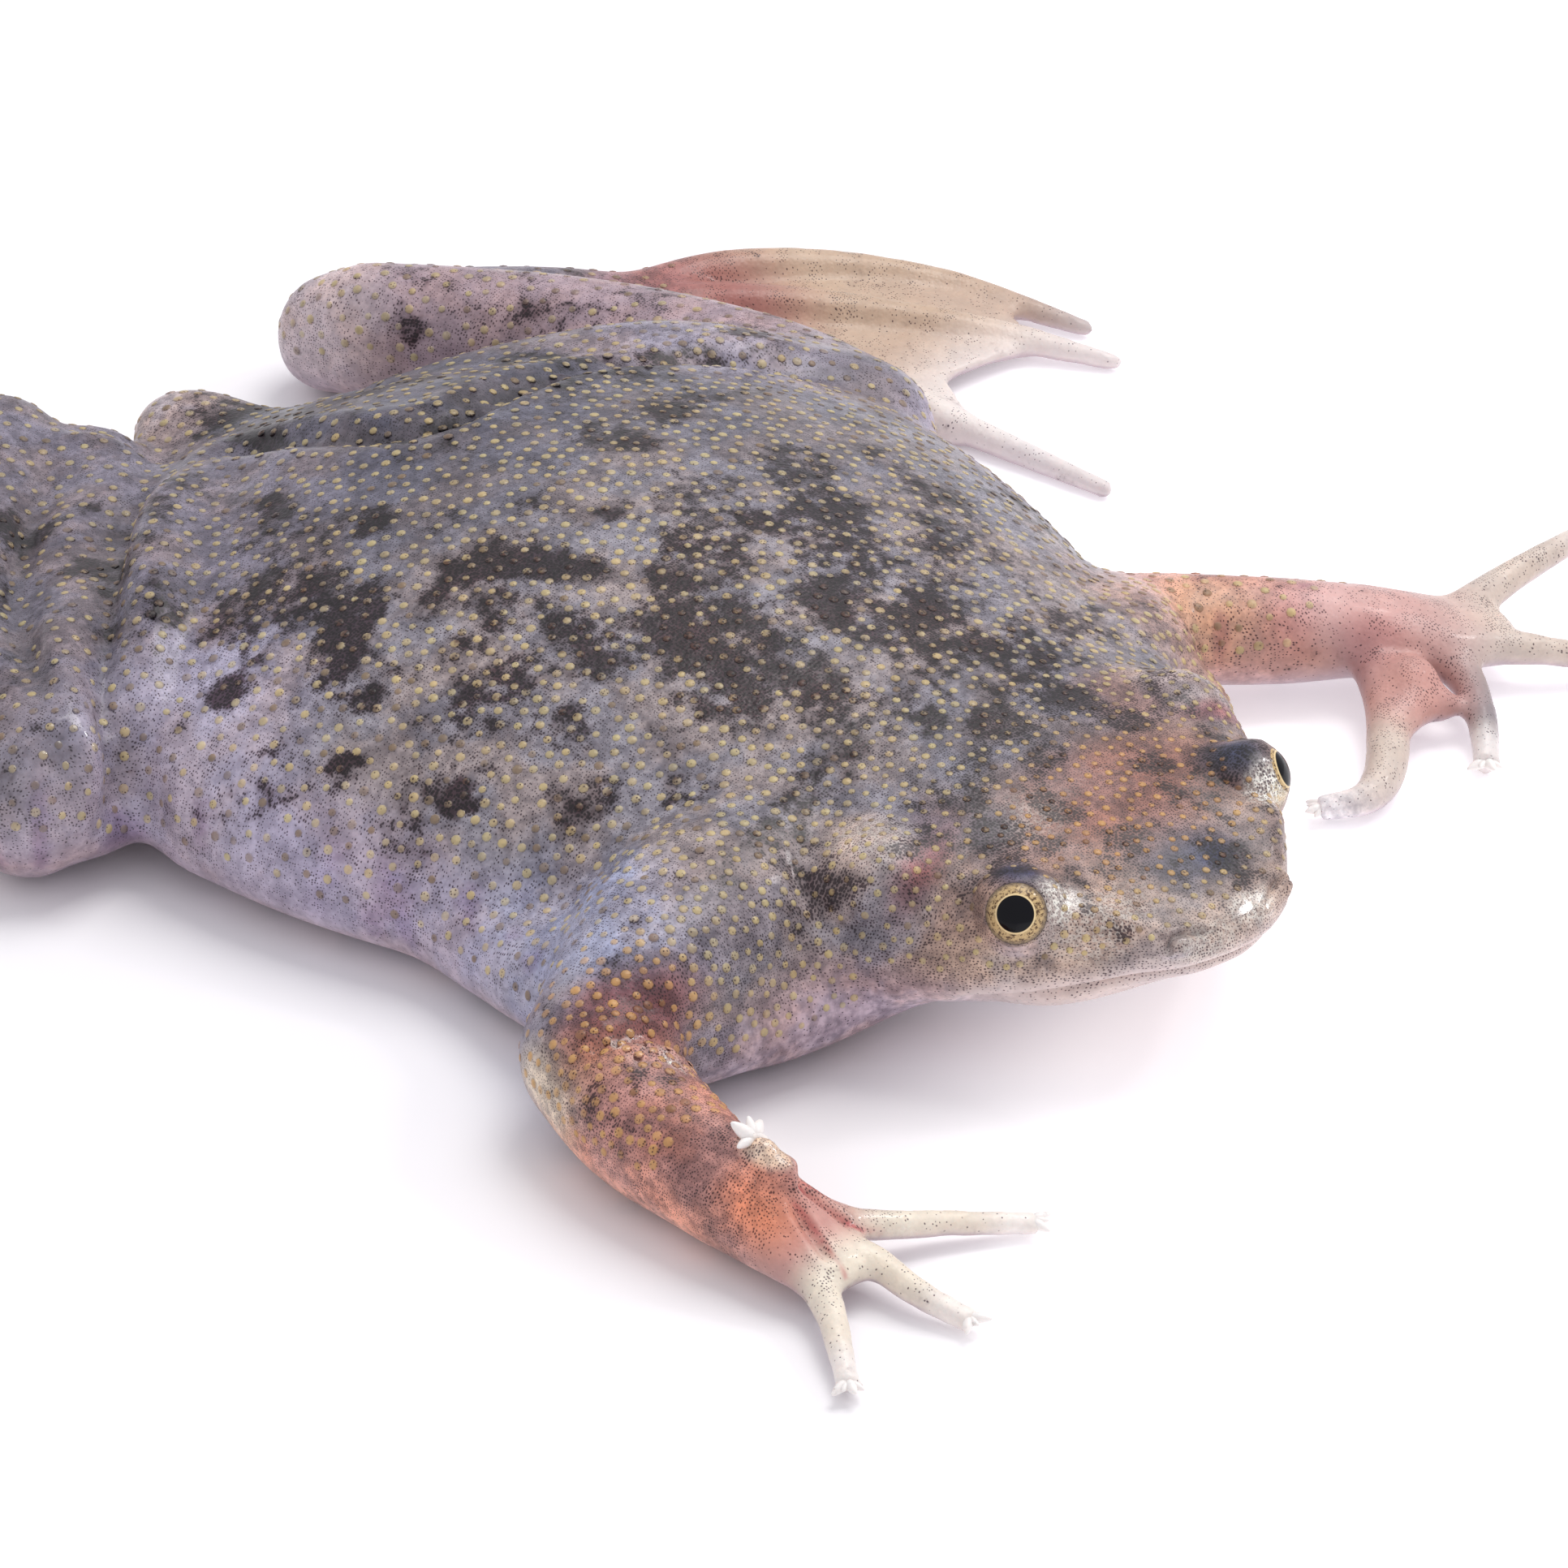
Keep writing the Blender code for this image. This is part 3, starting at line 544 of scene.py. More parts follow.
# Plan-view lines of the larger folds: width and depth in millimetres.
TOP_FOLDS = [
    # the edge of the back's dome over the hips
    ([(12.2, 4.4), (9.4, 7), (6, 8.6), (3.3, 8.9), (-0.2, 8.5), (-1.6, 9.8), (-2.1, 12.2),
      (-2.5, 14.2), (-4.2, 15.2)], 0.50, 0.42),
    ([(-3, 15.2), (-5.7, 14.4), (-7.3, 13.4), (-9.2, 11.6), (-10.6, 10), (-11.8, 8.7), (-12.8, 7.3),
      (-13.7, 5.6), (-14.2, 4.2)], 0.62, 0.70),
    # thigh against shank
    ([(-15.2, 5.9), (-14.6, 7), (-13.4, 9.2), (-12.2, 11.4), (-10.4, 13.6), (-7.9, 15.9),
      (-5.2, 18.3)], 0.34, 0.26),
    # neck and shoulder
    ([(-6.1, -12.9), (-6.9, -11.6), (-6.8, -10.4), (-6, -9.6)], 0.30, 0.12),
    ([(6.1, -12.9), (6.9, -11.6), (6.8, -10.4), (6, -9.6)], 0.30, 0.12),
    ([(-9.2, -9.6), (-9.6, -8.2), (-9.5, -6.8), (-9, -5.6)], 0.24, 0.08),
    ([(-8.3, -10.6), (-8.6, -9.2), (-8.4, -8)], 0.20, 0.07),
    # elbow
    ([(-14.7, -10.6), (-13.5, -11.1), (-12.3, -11.5), (-11.6, -11.9)], 0.24, 0.22),
    ([(-14.4, -11.5), (-13.4, -11.9), (-12.4, -12.2)], 0.16, 0.08),
    # rump
    ([(-3.9, 19.4), (-2.7, 17.2), (-2.4, 15.8)], 0.35, 0.22),
    ([(2.9, 16.4), (2.6, 14.6), (2.2, 13.4)], 0.35, 0.16),
    # between the bones of the near palm
    ([(-13.6, -16.5), (-13.25, -17.4), (-13, -18.3)], 0.15, 0.17),
    ([(-13.9, -16.8), (-14.1, -17.8), (-14.35, -18.9)], 0.14, 0.16),
]

faces = faces_of(skin)
spots, ups = points_of(skin), normals_of(skin)
for plan, width, depth in TOP_FOLDS:
    spots = fold(spots, ups, on_skin(plan, faces), width, depth)
# the ear capsules behind the eyes
for side in (-1, 1):
    spots += ups * (0.12 * bell(far_from(spots, (side * 5.3, -11.4, 4.6)), 1.2))[:, None]
# the finger ends are drawn in, so that the small lobes can stand on them
for end, way in FINGER_ENDS:
    end, way = np.array(end), np.array(way) / np.linalg.norm(way)
    along = (spots - end) @ way
    across = spots - end - along[:, None] * way
    near = (along > 0) & (far_from(spots, end) < 1.6)
    drawn = end + way * (np.minimum(along, 0.9) * 0.30)[:, None]
    drawn += across * (1 - 0.55 * ramp(along, 0, 0.45))[:, None]
    spots[near] = drawn[near]
move_points(skin, spots)
print("folds:", len(TOP_FOLDS), "finger ends:", len(FINGER_ENDS))


# %% [markdown]
# The jaw line runs from under the snout back to below the eye. It is found by height: every point
# of the head close to that height sinks, and the upper lip just above it swells. The nostrils are
# small pits, each behind a shiny bump, with a curved fold of skin behind it.

# %% Mouth line, nostrils and throat
JAW_LINE = ((-20.5, 3.35), (-17.4, 3.00), (-14.6, 2.35), (-13.7, 1.75))
NOSTRIL = np.array((1.75, -18.15, 3.95))
NOSTRIL_BOW = ((0.42, 0.10, -0.10), (0.12, 0.16, 0.10), (-0.36, 0.0, 0.05), (-0.9, -0.26, -0.06))


def over_jaw(points):
    """How high each point lies over the mouth line."""
    return points[:, 2] - np.interp(points[:, 1], [y for y, z in JAW_LINE], [z for y, z in JAW_LINE])


spots, ups = points_of(skin), normals_of(skin)
above = over_jaw(spots)
in_head = ramp(-spots[:, 1], 13.8, 14.8) * (np.abs(spots[:, 0]) < 7) * (ups[:, 2] < 0.8)
mouth = bell(above, 0.09) * 0.24 - bell(above - 0.30, 0.20) * 0.08 - bell(above + 0.26, 0.16) * 0.05
spots -= ups * (mouth * in_head)[:, None]
for side in (1, -1):
    # a shiny bump under a fine curved groove
    mirror = np.array((side, 1, 1))
    bump = bell(far_from(spots, mirror * (NOSTRIL + (0.16, -0.10, -0.06))), 0.22)
    spots += ups * (0.15 * bump)[:, None]
    bow = smooth_line([mirror * (NOSTRIL + shift) for shift in NOSTRIL_BOW])
    far, where = distance_to_line(spots, bow)
    groove = 0.13 * bell(far, 0.07) * ramp(1 - where, 0, 0.4) - 0.05 * bell(far - 0.17, 0.08)
    spots -= ups * groove[:, None]
# the throat sags a little
wide = (0.7, 1, 1)
bags = [np.linalg.norm((spots - (side * 3.0, -15.6, 2.0)) * wide, axis=1) for side in (-1, 1)]
throat = bell(bags[0], 1.5) + bell(bags[1], 1.5)
spots[:, 2] -= 0.26 * throat * ramp(-ups[:, 2], -0.1, 0.5)
print("mouth depth:", round(float(mouth.max()), 2), "mm")

# %% Close the skin on the eyes
OPENING = {"left": 0.62, "right": 0.93}


def from_eye(points, side):
    """Each point's distance and direction from an eye, and its angle from the eye's axis."""
    far = far_from(points, EYE_PLACE[side])
    aim = (points - np.array(EYE_PLACE[side])) / far[:, None]
    axis = np.array(EYE_AXIS[side]) / np.linalg.norm(EYE_AXIS[side])
    return far, aim, np.arccos(np.clip(aim @ axis, -1, 1))


for side, edge in OPENING.items():
    # the skin closes on each eyeball and leaves the iris clear
    far, aim, angle = from_eye(spots, side)
    rim = EYE_RADIUS + 0.035 + 0.24 * ramp(angle, edge + 0.05, 1.75)
    rim = rim - 0.22 * (1 - ramp(angle, edge - 0.10, edge + 0.02))
    pull = (1 - ramp(far, 1.36, 1.62)) * (1 - ramp(angle, 1.8, 2.1))
    lowest = np.where(angle > edge, EYE_RADIUS + 0.03 - 0.6 * ramp(angle, 1.02, 1.75), 0)
    target = np.maximum(np.minimum(far, rim), np.minimum(lowest, rim))
    spots = np.array(EYE_PLACE[side]) + aim * (far + (target - far) * pull)[:, None]
move_points(skin, spots)
outside = np.zeros(len(spots))
for side in EYE_PLACE:
    far, aim, angle = from_eye(spots, side)
    outside = np.maximum(outside, ramp(angle, 1.15, 1.5) * (1 - ramp(far, 1.9, 2.3)))
smooth_by(skin, outside, 14)
print("head carved")


# %% [markdown]
# ## The colours of the skin
# The living skin is lavender grey with dark brown patches on the back, lilac on the flanks, tan and
# pinkish on the head with blue-black patches, orange-red on the forearms and clear cream on the
# fingers and toes. These broad colours are painted as a colour attribute on the skin's points, zone
# by zone, as with a soft brush. A second attribute holds how strongly each point is blotched, and
# the material breaks that up with fine patterns.

# %% Colour zones
def srgb(*values):
    """A colour given as 0 to 255 values, as the linear values that the shader needs."""
    return np.array([v / 255 / 12.92 if v < 10 else ((v / 255 + 0.055) / 1.055) ** 2.4 for v in values])


BACK = srgb(134, 127, 130)
BELLY = srgb(188, 170, 178)
FLANK = srgb(172, 162, 180)
REAR = srgb(82, 79, 90)
HEAD = srgb(146, 124, 114)
CROWN = srgb(136, 92, 80)
CHEEK = srgb(168, 150, 138)
LIP = srgb(214, 198, 193)
EAR = srgb(178, 160, 152)
SNOUT = srgb(164, 150, 142)
SLATE = srgb(40, 46, 78)
LILAC_ARM = srgb(158, 160, 182)
MAROON = srgb(108, 62, 66)
FOREARM = srgb(184, 132, 118)
ELBOW = srgb(208, 186, 158)
ORANGE = srgb(216, 124, 78)
PALM = srgb(206, 150, 138)
CREAM = srgb(230, 219, 200)
WHITE_TIP = srgb(244, 238, 234)
PINK_ARM = srgb(208, 158, 140)
LEG = srgb(116, 108, 117)
LOW_LEG = srgb(176, 160, 170)
FAR_LEG = srgb(168, 145, 150)
TAN_FOOT = srgb(194, 168, 144)
RED_SKIN = srgb(150, 74, 78)
NECK = srgb(170, 148, 154)
VENT = srgb(190, 172, 168)
VEIN = srgb(188, 70, 74)

# Name, centre, radii, turn in degrees, softness, colour, strength. Later zones lie over earlier ones.
ZONES = [
    ("rear of the back", (0, 12.2, 5), (12, 8.6, 9), 0, 0.5, REAR, 1),
    ("far side of the back", (6.5, 1.5, 5), (4.5, 4.5, 9), 0, 0.5, REAR, 0.5),
    ("right flank", (-13, 0, 1.8), (2.6, 9, 2.6), 0, 0.5, FLANK, 0.95),
    ("left flank", (13, 0, 1.8), (2.6, 9, 2.6), 0, 0.5, FLANK, 0.9),
    ("right legs", (-10, 15, 3), (9, 9.5, 9), 0, 0.2, LEG, 0.95),
    ("low right legs", (-13, 10, 1.2), (6, 8, 2), 0, 0.4, LOW_LEG, 0.8),
    ("thigh by the flank", (-12.2, 5.6, 3.4), (3.6, 3.2, 3.2), 0, 0.5, srgb(172, 163, 178), 0.9),
    ("low edge of the right leg", (-15.5, 8.5, 0.5), (5, 5.5, 0.9), 0, 0.5, srgb(118, 80, 80), 0.75),
    ("left legs", (10.5, 14, 3), (6, 9.5, 9), 0, 0.2, LEG, 0.8),
    ("left thigh", (9, 8.6, 5), (2.6, 3.6, 2.2), 0, 0.5, srgb(156, 146, 156), 0.7),
    ("left shank", (10.4, 14.5, 2), (2.8, 8.5, 5), 28, 0.3, FAR_LEG, 0.85),
    ("left knee", (6.2, 20.2, 2.6), (1.8, 1.8, 2.4), 0, 0.5, srgb(214, 196, 196), 0.7),
    ("vent", (-0.6, 19.4, 3.2), (1.8, 1.8, 2), 0, 0.7, VENT, 0.7),
    ("head", (0, -16.5, 4), (8, 4.6, 9), 0, 0.22, HEAD, 1),
    ("nape", (1, -11, 6), (5, 3, 5), 0, 0.6, REAR, 0.45),
    ("crown", (0.6, -14, 6), (3.4, 1.7, 3), 0, 0.5, CROWN, 0.85),
    ("snout", (0, -18.2, 4), (3.2, 1.2, 3), 0, 0.5, SNOUT, 0.8),
    ("right cheek", (-4.6, -15.9, 2.9), (2.6, 2.6, 1.3), 0, 0.4, CHEEK, 0.9),
    ("left cheek", (4.6, -15.9, 2.9), (2.6, 2.6, 1.3), 0, 0.4, CHEEK, 0.9),
    ("low neck", (-6.4, -12.4, 1.4), (4.5, 3, 1.5), 0, 0.5, NECK, 0.9),
    ("chin", (-4.4, -14.4, 1.7), (2.2, 1.6, 0.9), 0, 0.5, srgb(206, 188, 185), 0.9),
    ("temple", (-3.6, -11.9, 5.4), (0.8, 0.7, 0.9), 0, 0.5, MAROON, 0.35),
    ("far nape", (3.9, -11.2, 5.4), (1.6, 1.3, 1.2), 0, 0.5, srgb(134, 98, 88), 0.6),
    ("right ear", (-5.3, -11.3, 4.6), (1, 1.3, 2), -20, 0.4, EAR, 0.9),
    ("left ear", (5.3, -11.3, 4.6), (1, 1.3, 2), 20, 0.4, EAR, 0.9),
    ("right ear streak", (-4.9, -12.65, 4.8), (1, 0.40, 1.2), 10, 0.8, srgb(136, 68, 70), 0.8),
    ("left ear streak", (5.2, -12.75, 4.6), (0.9, 0.26, 1.4), -10, 0.7, RED_SKIN, 0.55),
    ("snout patch", (0.3, -16.6, 4.6), (1.4, 0.9, 1), -20, 0.9, srgb(58, 66, 86), 0.8),
    ("dark of the snout patch", (0.92, -16.8, 4.6), (0.60, 0.50, 1), 20, 0.9, SLATE, 0.9),
    ("right brow", (-3.85, -14.75, 5.25), (0.62, 0.62, 0.5), 20, 0.6, SLATE, 0.95),
    ("left brow", (3.6, -14.9, 5.4), (0.75, 0.85, 0.7), 0, 0.7, srgb(46, 58, 84), 0.9),
    ("gold before the left eye", (4.1, -16, 4.7), (0.35, 0.30, 0.4), 0, 0.7, srgb(216, 198, 140), 0.7),
    ("behind the right eye", (-2.9, -13, 5.2), (0.9, 0.5, 1), 20, 0.7, SLATE, 0.5),
    ("right shoulder", (-11, -7.4, 3), (2, 3, 5), 0, 0.45, LILAC_ARM, 0.85),
    ("neck side of the right shoulder", (-8.9, -10, 4.6), (1.6, 1.3, 1.6), 0, 0.6, srgb(124, 110, 110), 0.75),
    ("left shoulder", (9.2, -7.6, 3), (1.8, 3.2, 5), 0, 0.4, srgb(156, 126, 116), 0.7),
    ("right forearm", (-13.6, -13.6, 2), (2.6, 3.6, 9), 0, 0.25, FOREARM, 0.95),
    ("dark of the right forearm", (-15.1, -13.6, 2.4), (0.9, 2, 1), 0, 0.7, srgb(112, 54, 52), 0.32),
    ("under the right forearm", (-15.8, -13.4, 0.9), (1.3, 2.8, 1.2), -10, 0.5, srgb(204, 146, 128), 0.8),
    ("right elbow", (-15, -9.7, 1.9), (0.9, 1.6, 1.4), 10, 0.5, ELBOW, 0.85),
    ("top of the right elbow", (-14.3, -10.8, 3.3), (1, 0.9, 0.8), 10, 0.6, srgb(164, 112, 88), 0.8),
    ("right upper arm", (-12.5, -10.45, 3.6), (1.9, 0.95, 1.2), -18, 0.6, MAROON, 0.95),
    ("right palm", (-13.7, -17.9, 1.3), (1.8, 1.4, 1.6), 0, 0.5, PALM, 0.9),
    ("right wrist", (-14.75, -16.9, 1.9), (0.75, 0.9, 1), 0, 0.8, ORANGE, 0.75),
    ("right fingers", (-12.8, -21.8, 1), (7.5, 3.4, 3), 0, 0.16, CREAM, 1),
    ("right second finger", (-10, -19.3, 0.6), (3, 1.2, 2), -30, 0.4, CREAM, 1),
    ("raised finger", (-13.74, -16.2, 2.95), (0.5, 0.8, 0.5), 0, 0.3, srgb(206, 184, 160), 0.9),
    ("left forearm", (12.6, -6.6, 2), (3, 3.6, 5), -40, 0.3, PINK_ARM, 0.95),
    ("left forearm ochre", (11.2, -6.8, 2.6), (1.3, 1.1, 1.2), -40, 0.6, srgb(188, 150, 116), 0.6),
    ("left forearm edge", (13.2, -6.4, 2.4), (1.6, 0.5, 1), -40, 0.6, srgb(160, 100, 92), 0.6),
    ("left forearm blood", (13.2, -8.3, 2.5), (0.7, 1, 1), -40, 0.7, RED_SKIN, 0.45),
    ("left wrist", (14.6, -9.2, 2.6), (1.6, 1.2, 1), -40, 0.6, srgb(216, 176, 172), 0.8),
    ("left palm", (16.2, -9.9, 1.5), (2.2, 1.8, 3), 0, 0.5, srgb(214, 166, 156), 0.7),
    ("left palm blood", (14.3, -10, 1.9), (0.9, 0.8, 1), 0, 0.7, RED_SKIN, 0.45),
    ("left fingers", (20.8, -12, 0.5), (4.4, 5.2, 3), 0, 0.35, srgb(218, 202, 188), 0.85),
    ("left inner finger", (10.6, -13, 0.5), (3.6, 2.6, 3), 0, 0.3, srgb(216, 200, 186), 0.85),
    ("left palm web", (14, -11.6, 1.1), (1.6, 1.4, 1.3), 0, 0.5, srgb(200, 148, 138), 0.9),
    ("left foot", (18.5, 12.5, 0.5), (5.6, 6.5, 4), 0, 0.3, TAN_FOOT, 0.95),
    ("left ankle", (15.6, 15.4, 1.2), (2.4, 2.8, 2), 0, 0.6, RED_SKIN, 0.75),
    ("left toes", (19.2, 5, 0.3), (5.4, 4.4, 3), 0, 0.4, WHITE_TIP, 0.85),
    ("right foot", (-19.5, 20.5, 0.5), (7, 5.2, 4), 0, 0.3, TAN_FOOT, 0.95),
    ("right toes", (-24.5, 16.5, 0.3), (3.6, 5.8, 3), 0, 0.4, WHITE_TIP, 0.85),
]
# What a purple streak leaves of the flank's colour.
STREAK = np.array((0.55, 0.38, 0.60))
# Red veins under the thin skin of the near palm: lines and half widths.
VEINS = [
    ([(-13.6, -16.7, 2.1), (-13.25, -17.4, 1.7), (-12.9, -18.2, 1.2), (-12.3, -18.5, 0.9)], 0.09, 0.85),
    ([(-13.3, -16.8, 2), (-12.9, -17.3, 1.6), (-12.4, -18, 1.1)], 0.05, 0.7),
    ([(-13.9, -16.9, 2.05), (-13.95, -17.7, 1.7), (-14.1, -18.6, 1.3), (-14.2, -19.2, 0.95)], 0.07, 0.55),
]


# %% Paint the broad colours
def painted(tone, colour, mask):
    """The tones with a colour laid over them where the mask is 1."""
    return tone * (1 - mask[:, None]) + colour * mask[:, None]


def lips_at(points, above=0.0):
    """1 on the lower jaw and the edge of the upper lip, with a soft upper edge."""
    front = ramp(-points[:, 1], 13.2, 14.8) * (np.abs(points[:, 0]) < 7)
    return ramp(above - over_jaw(points), -0.75, -0.1) * front


def field(points, size, seed):
    """A smooth random field between about -1 and 1, with features of the given size."""
    away = Vector((seed * 17.3, seed * 5.1, seed * 9.7))
    return np.array([noise.noise(Vector(p) / size + away) for p in points])


faces = faces_of(skin)
# painted shade: the skin is darkened along the edge of the back's dome and between thigh and shank
crease_shade_lines = [on_skin(plan, faces) for plan, width, depth in TOP_FOLDS[:3]]


def tone_at(points, normals):
    """The broad colour of the skin at each point, with painted shade along the creases over the hips and
    legs.
    """
    tone = np.tile(BACK, (len(points), 1))
    for name, centre, radii, turn, soft, colour, strength in ZONES:
        tone = painted(tone, colour, blob(points, centre, radii, turn, soft) * strength)
    under = ramp(-normals[:, 2], 0.0, 0.7) * 0.8 + ramp(-points[:, 2], -1.2, -0.2) * 0.3
    arm = blob(points, (-14.5, -13.5, 1.5), (3.0, 4.6, 3.0), 0, 0.3)[:, None]
    tone = painted(tone, BELLY * (1 - arm) + PINK_ARM * arm, np.clip(under, 0, 1) * 0.85)
    for end, way in FINGER_ENDS[1:]:
        tone = painted(tone, WHITE_TIP, blob(points, end, (1, 1, 1), 0, 0.6) * 0.7)
    # painted shade in the creases, darkest on each fold line
    for line in crease_shade_lines:
        far, where = distance_to_line(points, line)
        mask = bell(far, 0.55) * ramp(where, 0, 0.2) * ramp(1 - where, 0, 0.2)
        tone = tone * (1 - 0.42 * mask[:, None])
    for line, width, strength in VEINS:
        tone = painted(tone, VEIN, bell(distance_to_line(points, line)[0], width) * strength)
    x, y, z = points.T
    streak = ramp(field(points * (0.9, 0.9, 0.16), 0.7, 12), 0.10, 0.45) * ramp(np.abs(x), 9.5, 11.5)
    streak = streak * ramp(z, 0.6, 1.4) * ramp(-z, -4.2, -2.6) * (np.abs(y) < 8)
    tone = tone * (1 - 0.55 * streak[:, None] * (1 - STREAK))
    return painted(tone, LIP, 0.9 * lips_at(points))


# %% Dark blotches
# Plan-view centre, radii, turn and strength of the dark patches.
BLOTCHES = [
    (-7.6, 4, 1, 0.55, 20, 1), (-9.1, 3.4, 0.7, 0.4, 10, 0.7), (-4.9, 2.6, 1.1, 0.6, -10, 0.95),
    (-5.5, 1, 0.55, 0.6, 0, 0.9), (-3.5, 1.1, 0.45, 0.8, 30, 0.9), (-3.1, 0.2, 0.4, 0.4, 0, 0.8),
    (-7.5, -0.5, 0.95, 0.6, 0, 0.85), (-4.9, -1, 0.5, 1, 0, 0.95), (-5.1, -2.3, 0.5, 0.5, 0, 0.9),
    (-1.3, -1.4, 1.3, 0.9, 15, 0.95), (-2.9, -3, 1.4, 0.9, -20, 0.9), (-3.5, -4.9, 1.2, 1.05, 0, 1),
    (-2.2, -6.9, 0.75, 1, 20, 0.8), (-7.3, -2.8, 0.5, 0.6, 0, 0.8), (-7.9, -4.6, 0.75, 0.5, 0, 0.6),
    (-6.6, -6.6, 0.5, 0.4, 0, 0.8), (0.4, -4.5, 1.2, 0.8, 20, 0.85), (1.2, -6.9, 1.3, 0.9, 30, 0.9),
    (2.5, -3.1, 1.3, 1, 0, 0.7), (2.6, -1.7, 1.2, 0.9, 0, 0.9), (5.4, -4, 1.1, 0.8, 0, 0.6),
    (1.8, -1.2, 0.9, 0.8, 0, 0.6), (4.2, 0.5, 1.1, 0.7, 20, 0.6), (0.4, 0.8, 0.9, 0.5, 0, 0.55),
    (6.8, -1.6, 1, 0.9, 0, 0.55), (3.9, 4.9, 1.2, 0.6, 0, 0.6), (4.2, 7.6, 1.6, 0.7, 10, 0.6),
    (6.2, 4.9, 1, 0.6, 0, 0.5), (-7.5, 6.3, 0.7, 1.3, -15, 0.7), (-1.1, 8.4, 1.1, 0.7, 0, 0.5),
    (-10.5, 5.4, 0.4, 0.4, 0, 0.8), (-10.9, 1.2, 0.35, 0.35, 0, 0.85), (-9.6, 2.5, 0.3, 0.35, 0, 0.85),
    (-9.6, -1.8, 0.5, 0.35, 0, 0.85), (-10.7, -1.3, 0.9, 0.7, 0, 0.4), (-4.6, -8.9, 1.6, 0.5, 5, 0.8),
    (-1.4, -9.2, 0.8, 0.55, 0, 0.7), (2.7, -8.1, 0.9, 0.6, 20, 0.8), (5.4, -7.7, 0.9, 0.7, 0, 0.6),
    (3.1, -5.5, 1, 0.8, 0, 0.35), (0.3, -10.5, 0.5, 0.8, 0, 0.9), (-6.7, -10.8, 0.35, 1, 10, 0.6),
    (-2.7, -11.2, 0.9, 0.45, 0, 0.7), (-4.2, -12.2, 1, 0.35, 0, 0.6), (-2.4, -12.1, 0.45, 0.4, 0, 0.8),
    (-1.3, -13.1, 0.22, 0.55, 10, 0.9), (-3, -13.3, 0.5, 0.4, 0, 0.8),
    (-2.2, -14.25, 0.3, 0.35, 0, 0.8), (-3.6, -14.3, 0.6, 0.35, 20, 0.9),
    (-1.1, -15.6, 0.9, 0.3, 15, 0.7), (-2.8, -16.1, 0.55, 0.16, 30, 0.7),
    (4, -12.1, 0.7, 0.45, 0, 0.7), (2.9, -12, 0.6, 0.3, 0, 0.7), (2, -13.5, 0.35, 0.3, 0, 0.6),
    (2.9, -14.6, 0.4, 0.5, 0, 0.6), (1.7, -9.4, 0.5, 0.5, 0, 0.8), (3.4, -8.9, 0.8, 0.5, 10, 0.8),
    (2.4, -10.6, 0.5, 0.8, 0, 0.8), (-9.3, 9, 0.9, 0.5, 40, 0.5), (-6.8, 12, 1.4, 0.5, 40, 0.5),
    (-14.5, -12.2, 0.6, 0.5, 30, 0.5), (-15.3, -11.6, 0.6, 0.6, 0, 0.6),
    (-11, 14.5, 0.8, 2, -30, 0.45),
]
# Dark marks on the head: centre, radii, turn, strength.
HEAD_MARKS = [
    ((-1.15, -12.9, 5.4), (0.34, 0.62, 1), 25, 1.1), ((0.1, -12.2, 5.6), (0.4, 0.3, 1), 0, 0.8),
    ((0.6, -10.7, 5.8), (1.5, 0.5, 1), -35, 1), ((2.9, -12.2, 5.5), (0.9, 0.35, 1), -20, 0.9),
    ((-2.8, -13, 5.2), (0.45, 0.6, 1), 0, 0.9), ((-2.15, -14.35, 5.1), (0.45, 0.3, 1), 0, 0.9),
    ((-3.7, -14.75, 5.2), (0.6, 0.35, 0.7), 20, 1.1), ((-0.7, -15.2, 5), (0.55, 0.4, 1), 10, 0.8),
    ((0.92, -16.75, 4.6), (0.42, 0.55, 1), 15, 1.2), ((0.2, -16.5, 4.7), (0.55, 0.35, 1), 0, 0.6),
    ((-0.5, -16.9, 4.5), (0.35, 0.25, 1), 0, 0.6), ((1.6, -17, 4.5), (0.3, 0.3, 1), 0, 0.6),
    ((0.95, -17.75, 4.25), (0.5, 0.35, 1), 0, 1), ((0.5, -15.6, 4.9), (0.4, 0.3, 1), 0, 0.6),
    ((2.3, -16.1, 4.7), (0.35, 0.3, 1), 0, 0.9), ((3.4, -14.5, 5.2), (0.6, 0.5, 1), 0, 0.8),
    ((3.8, -15, 5.6), (0.4, 0.4, 0.6), 0, 0.6), ((-2.5, -15.9, 4.75), (0.22, 0.45, 0.6), 15, 1),
    ((1.5, -14.6, 5.1), (0.4, 0.4, 1), 0, 0.6), ((2.2, -13.8, 5.3), (0.4, 0.3, 1), 0, 0.8),
    ((-1.2, -13.8, 5.3), (0.3, 0.3, 1), 0, 0.9), ((-2.9, -17.3, 4.15), (0.5, 0.25, 0.4), 20, 0.9),
    ((3.1, -16.4, 4.85), (0.35, 0.35, 0.6), 0, 0.7), ((-4.1, -12.9, 5.1), (0.5, 0.25, 1), 0, 0.35),
]
# Plan-view places without tubercles or patches: the hands and feet.
QUIET = [((-13, -20.6), (7, 3.6)), ((-10.5, -19), (2.6, 1.6)), ((18, -12.2), (8.5, 4.4))] + DIGITS[2:]
# Places with few stray patches: centre, radii, turn and the share taken off.
CALM = [((-14.5, 8.5), (2.4, 5), -35, 0.7), ((9, 16), (4, 6.5), 28, 0.7),
        ((12.8, -6.8), (3.2, 3.2), -40, 0.8)]


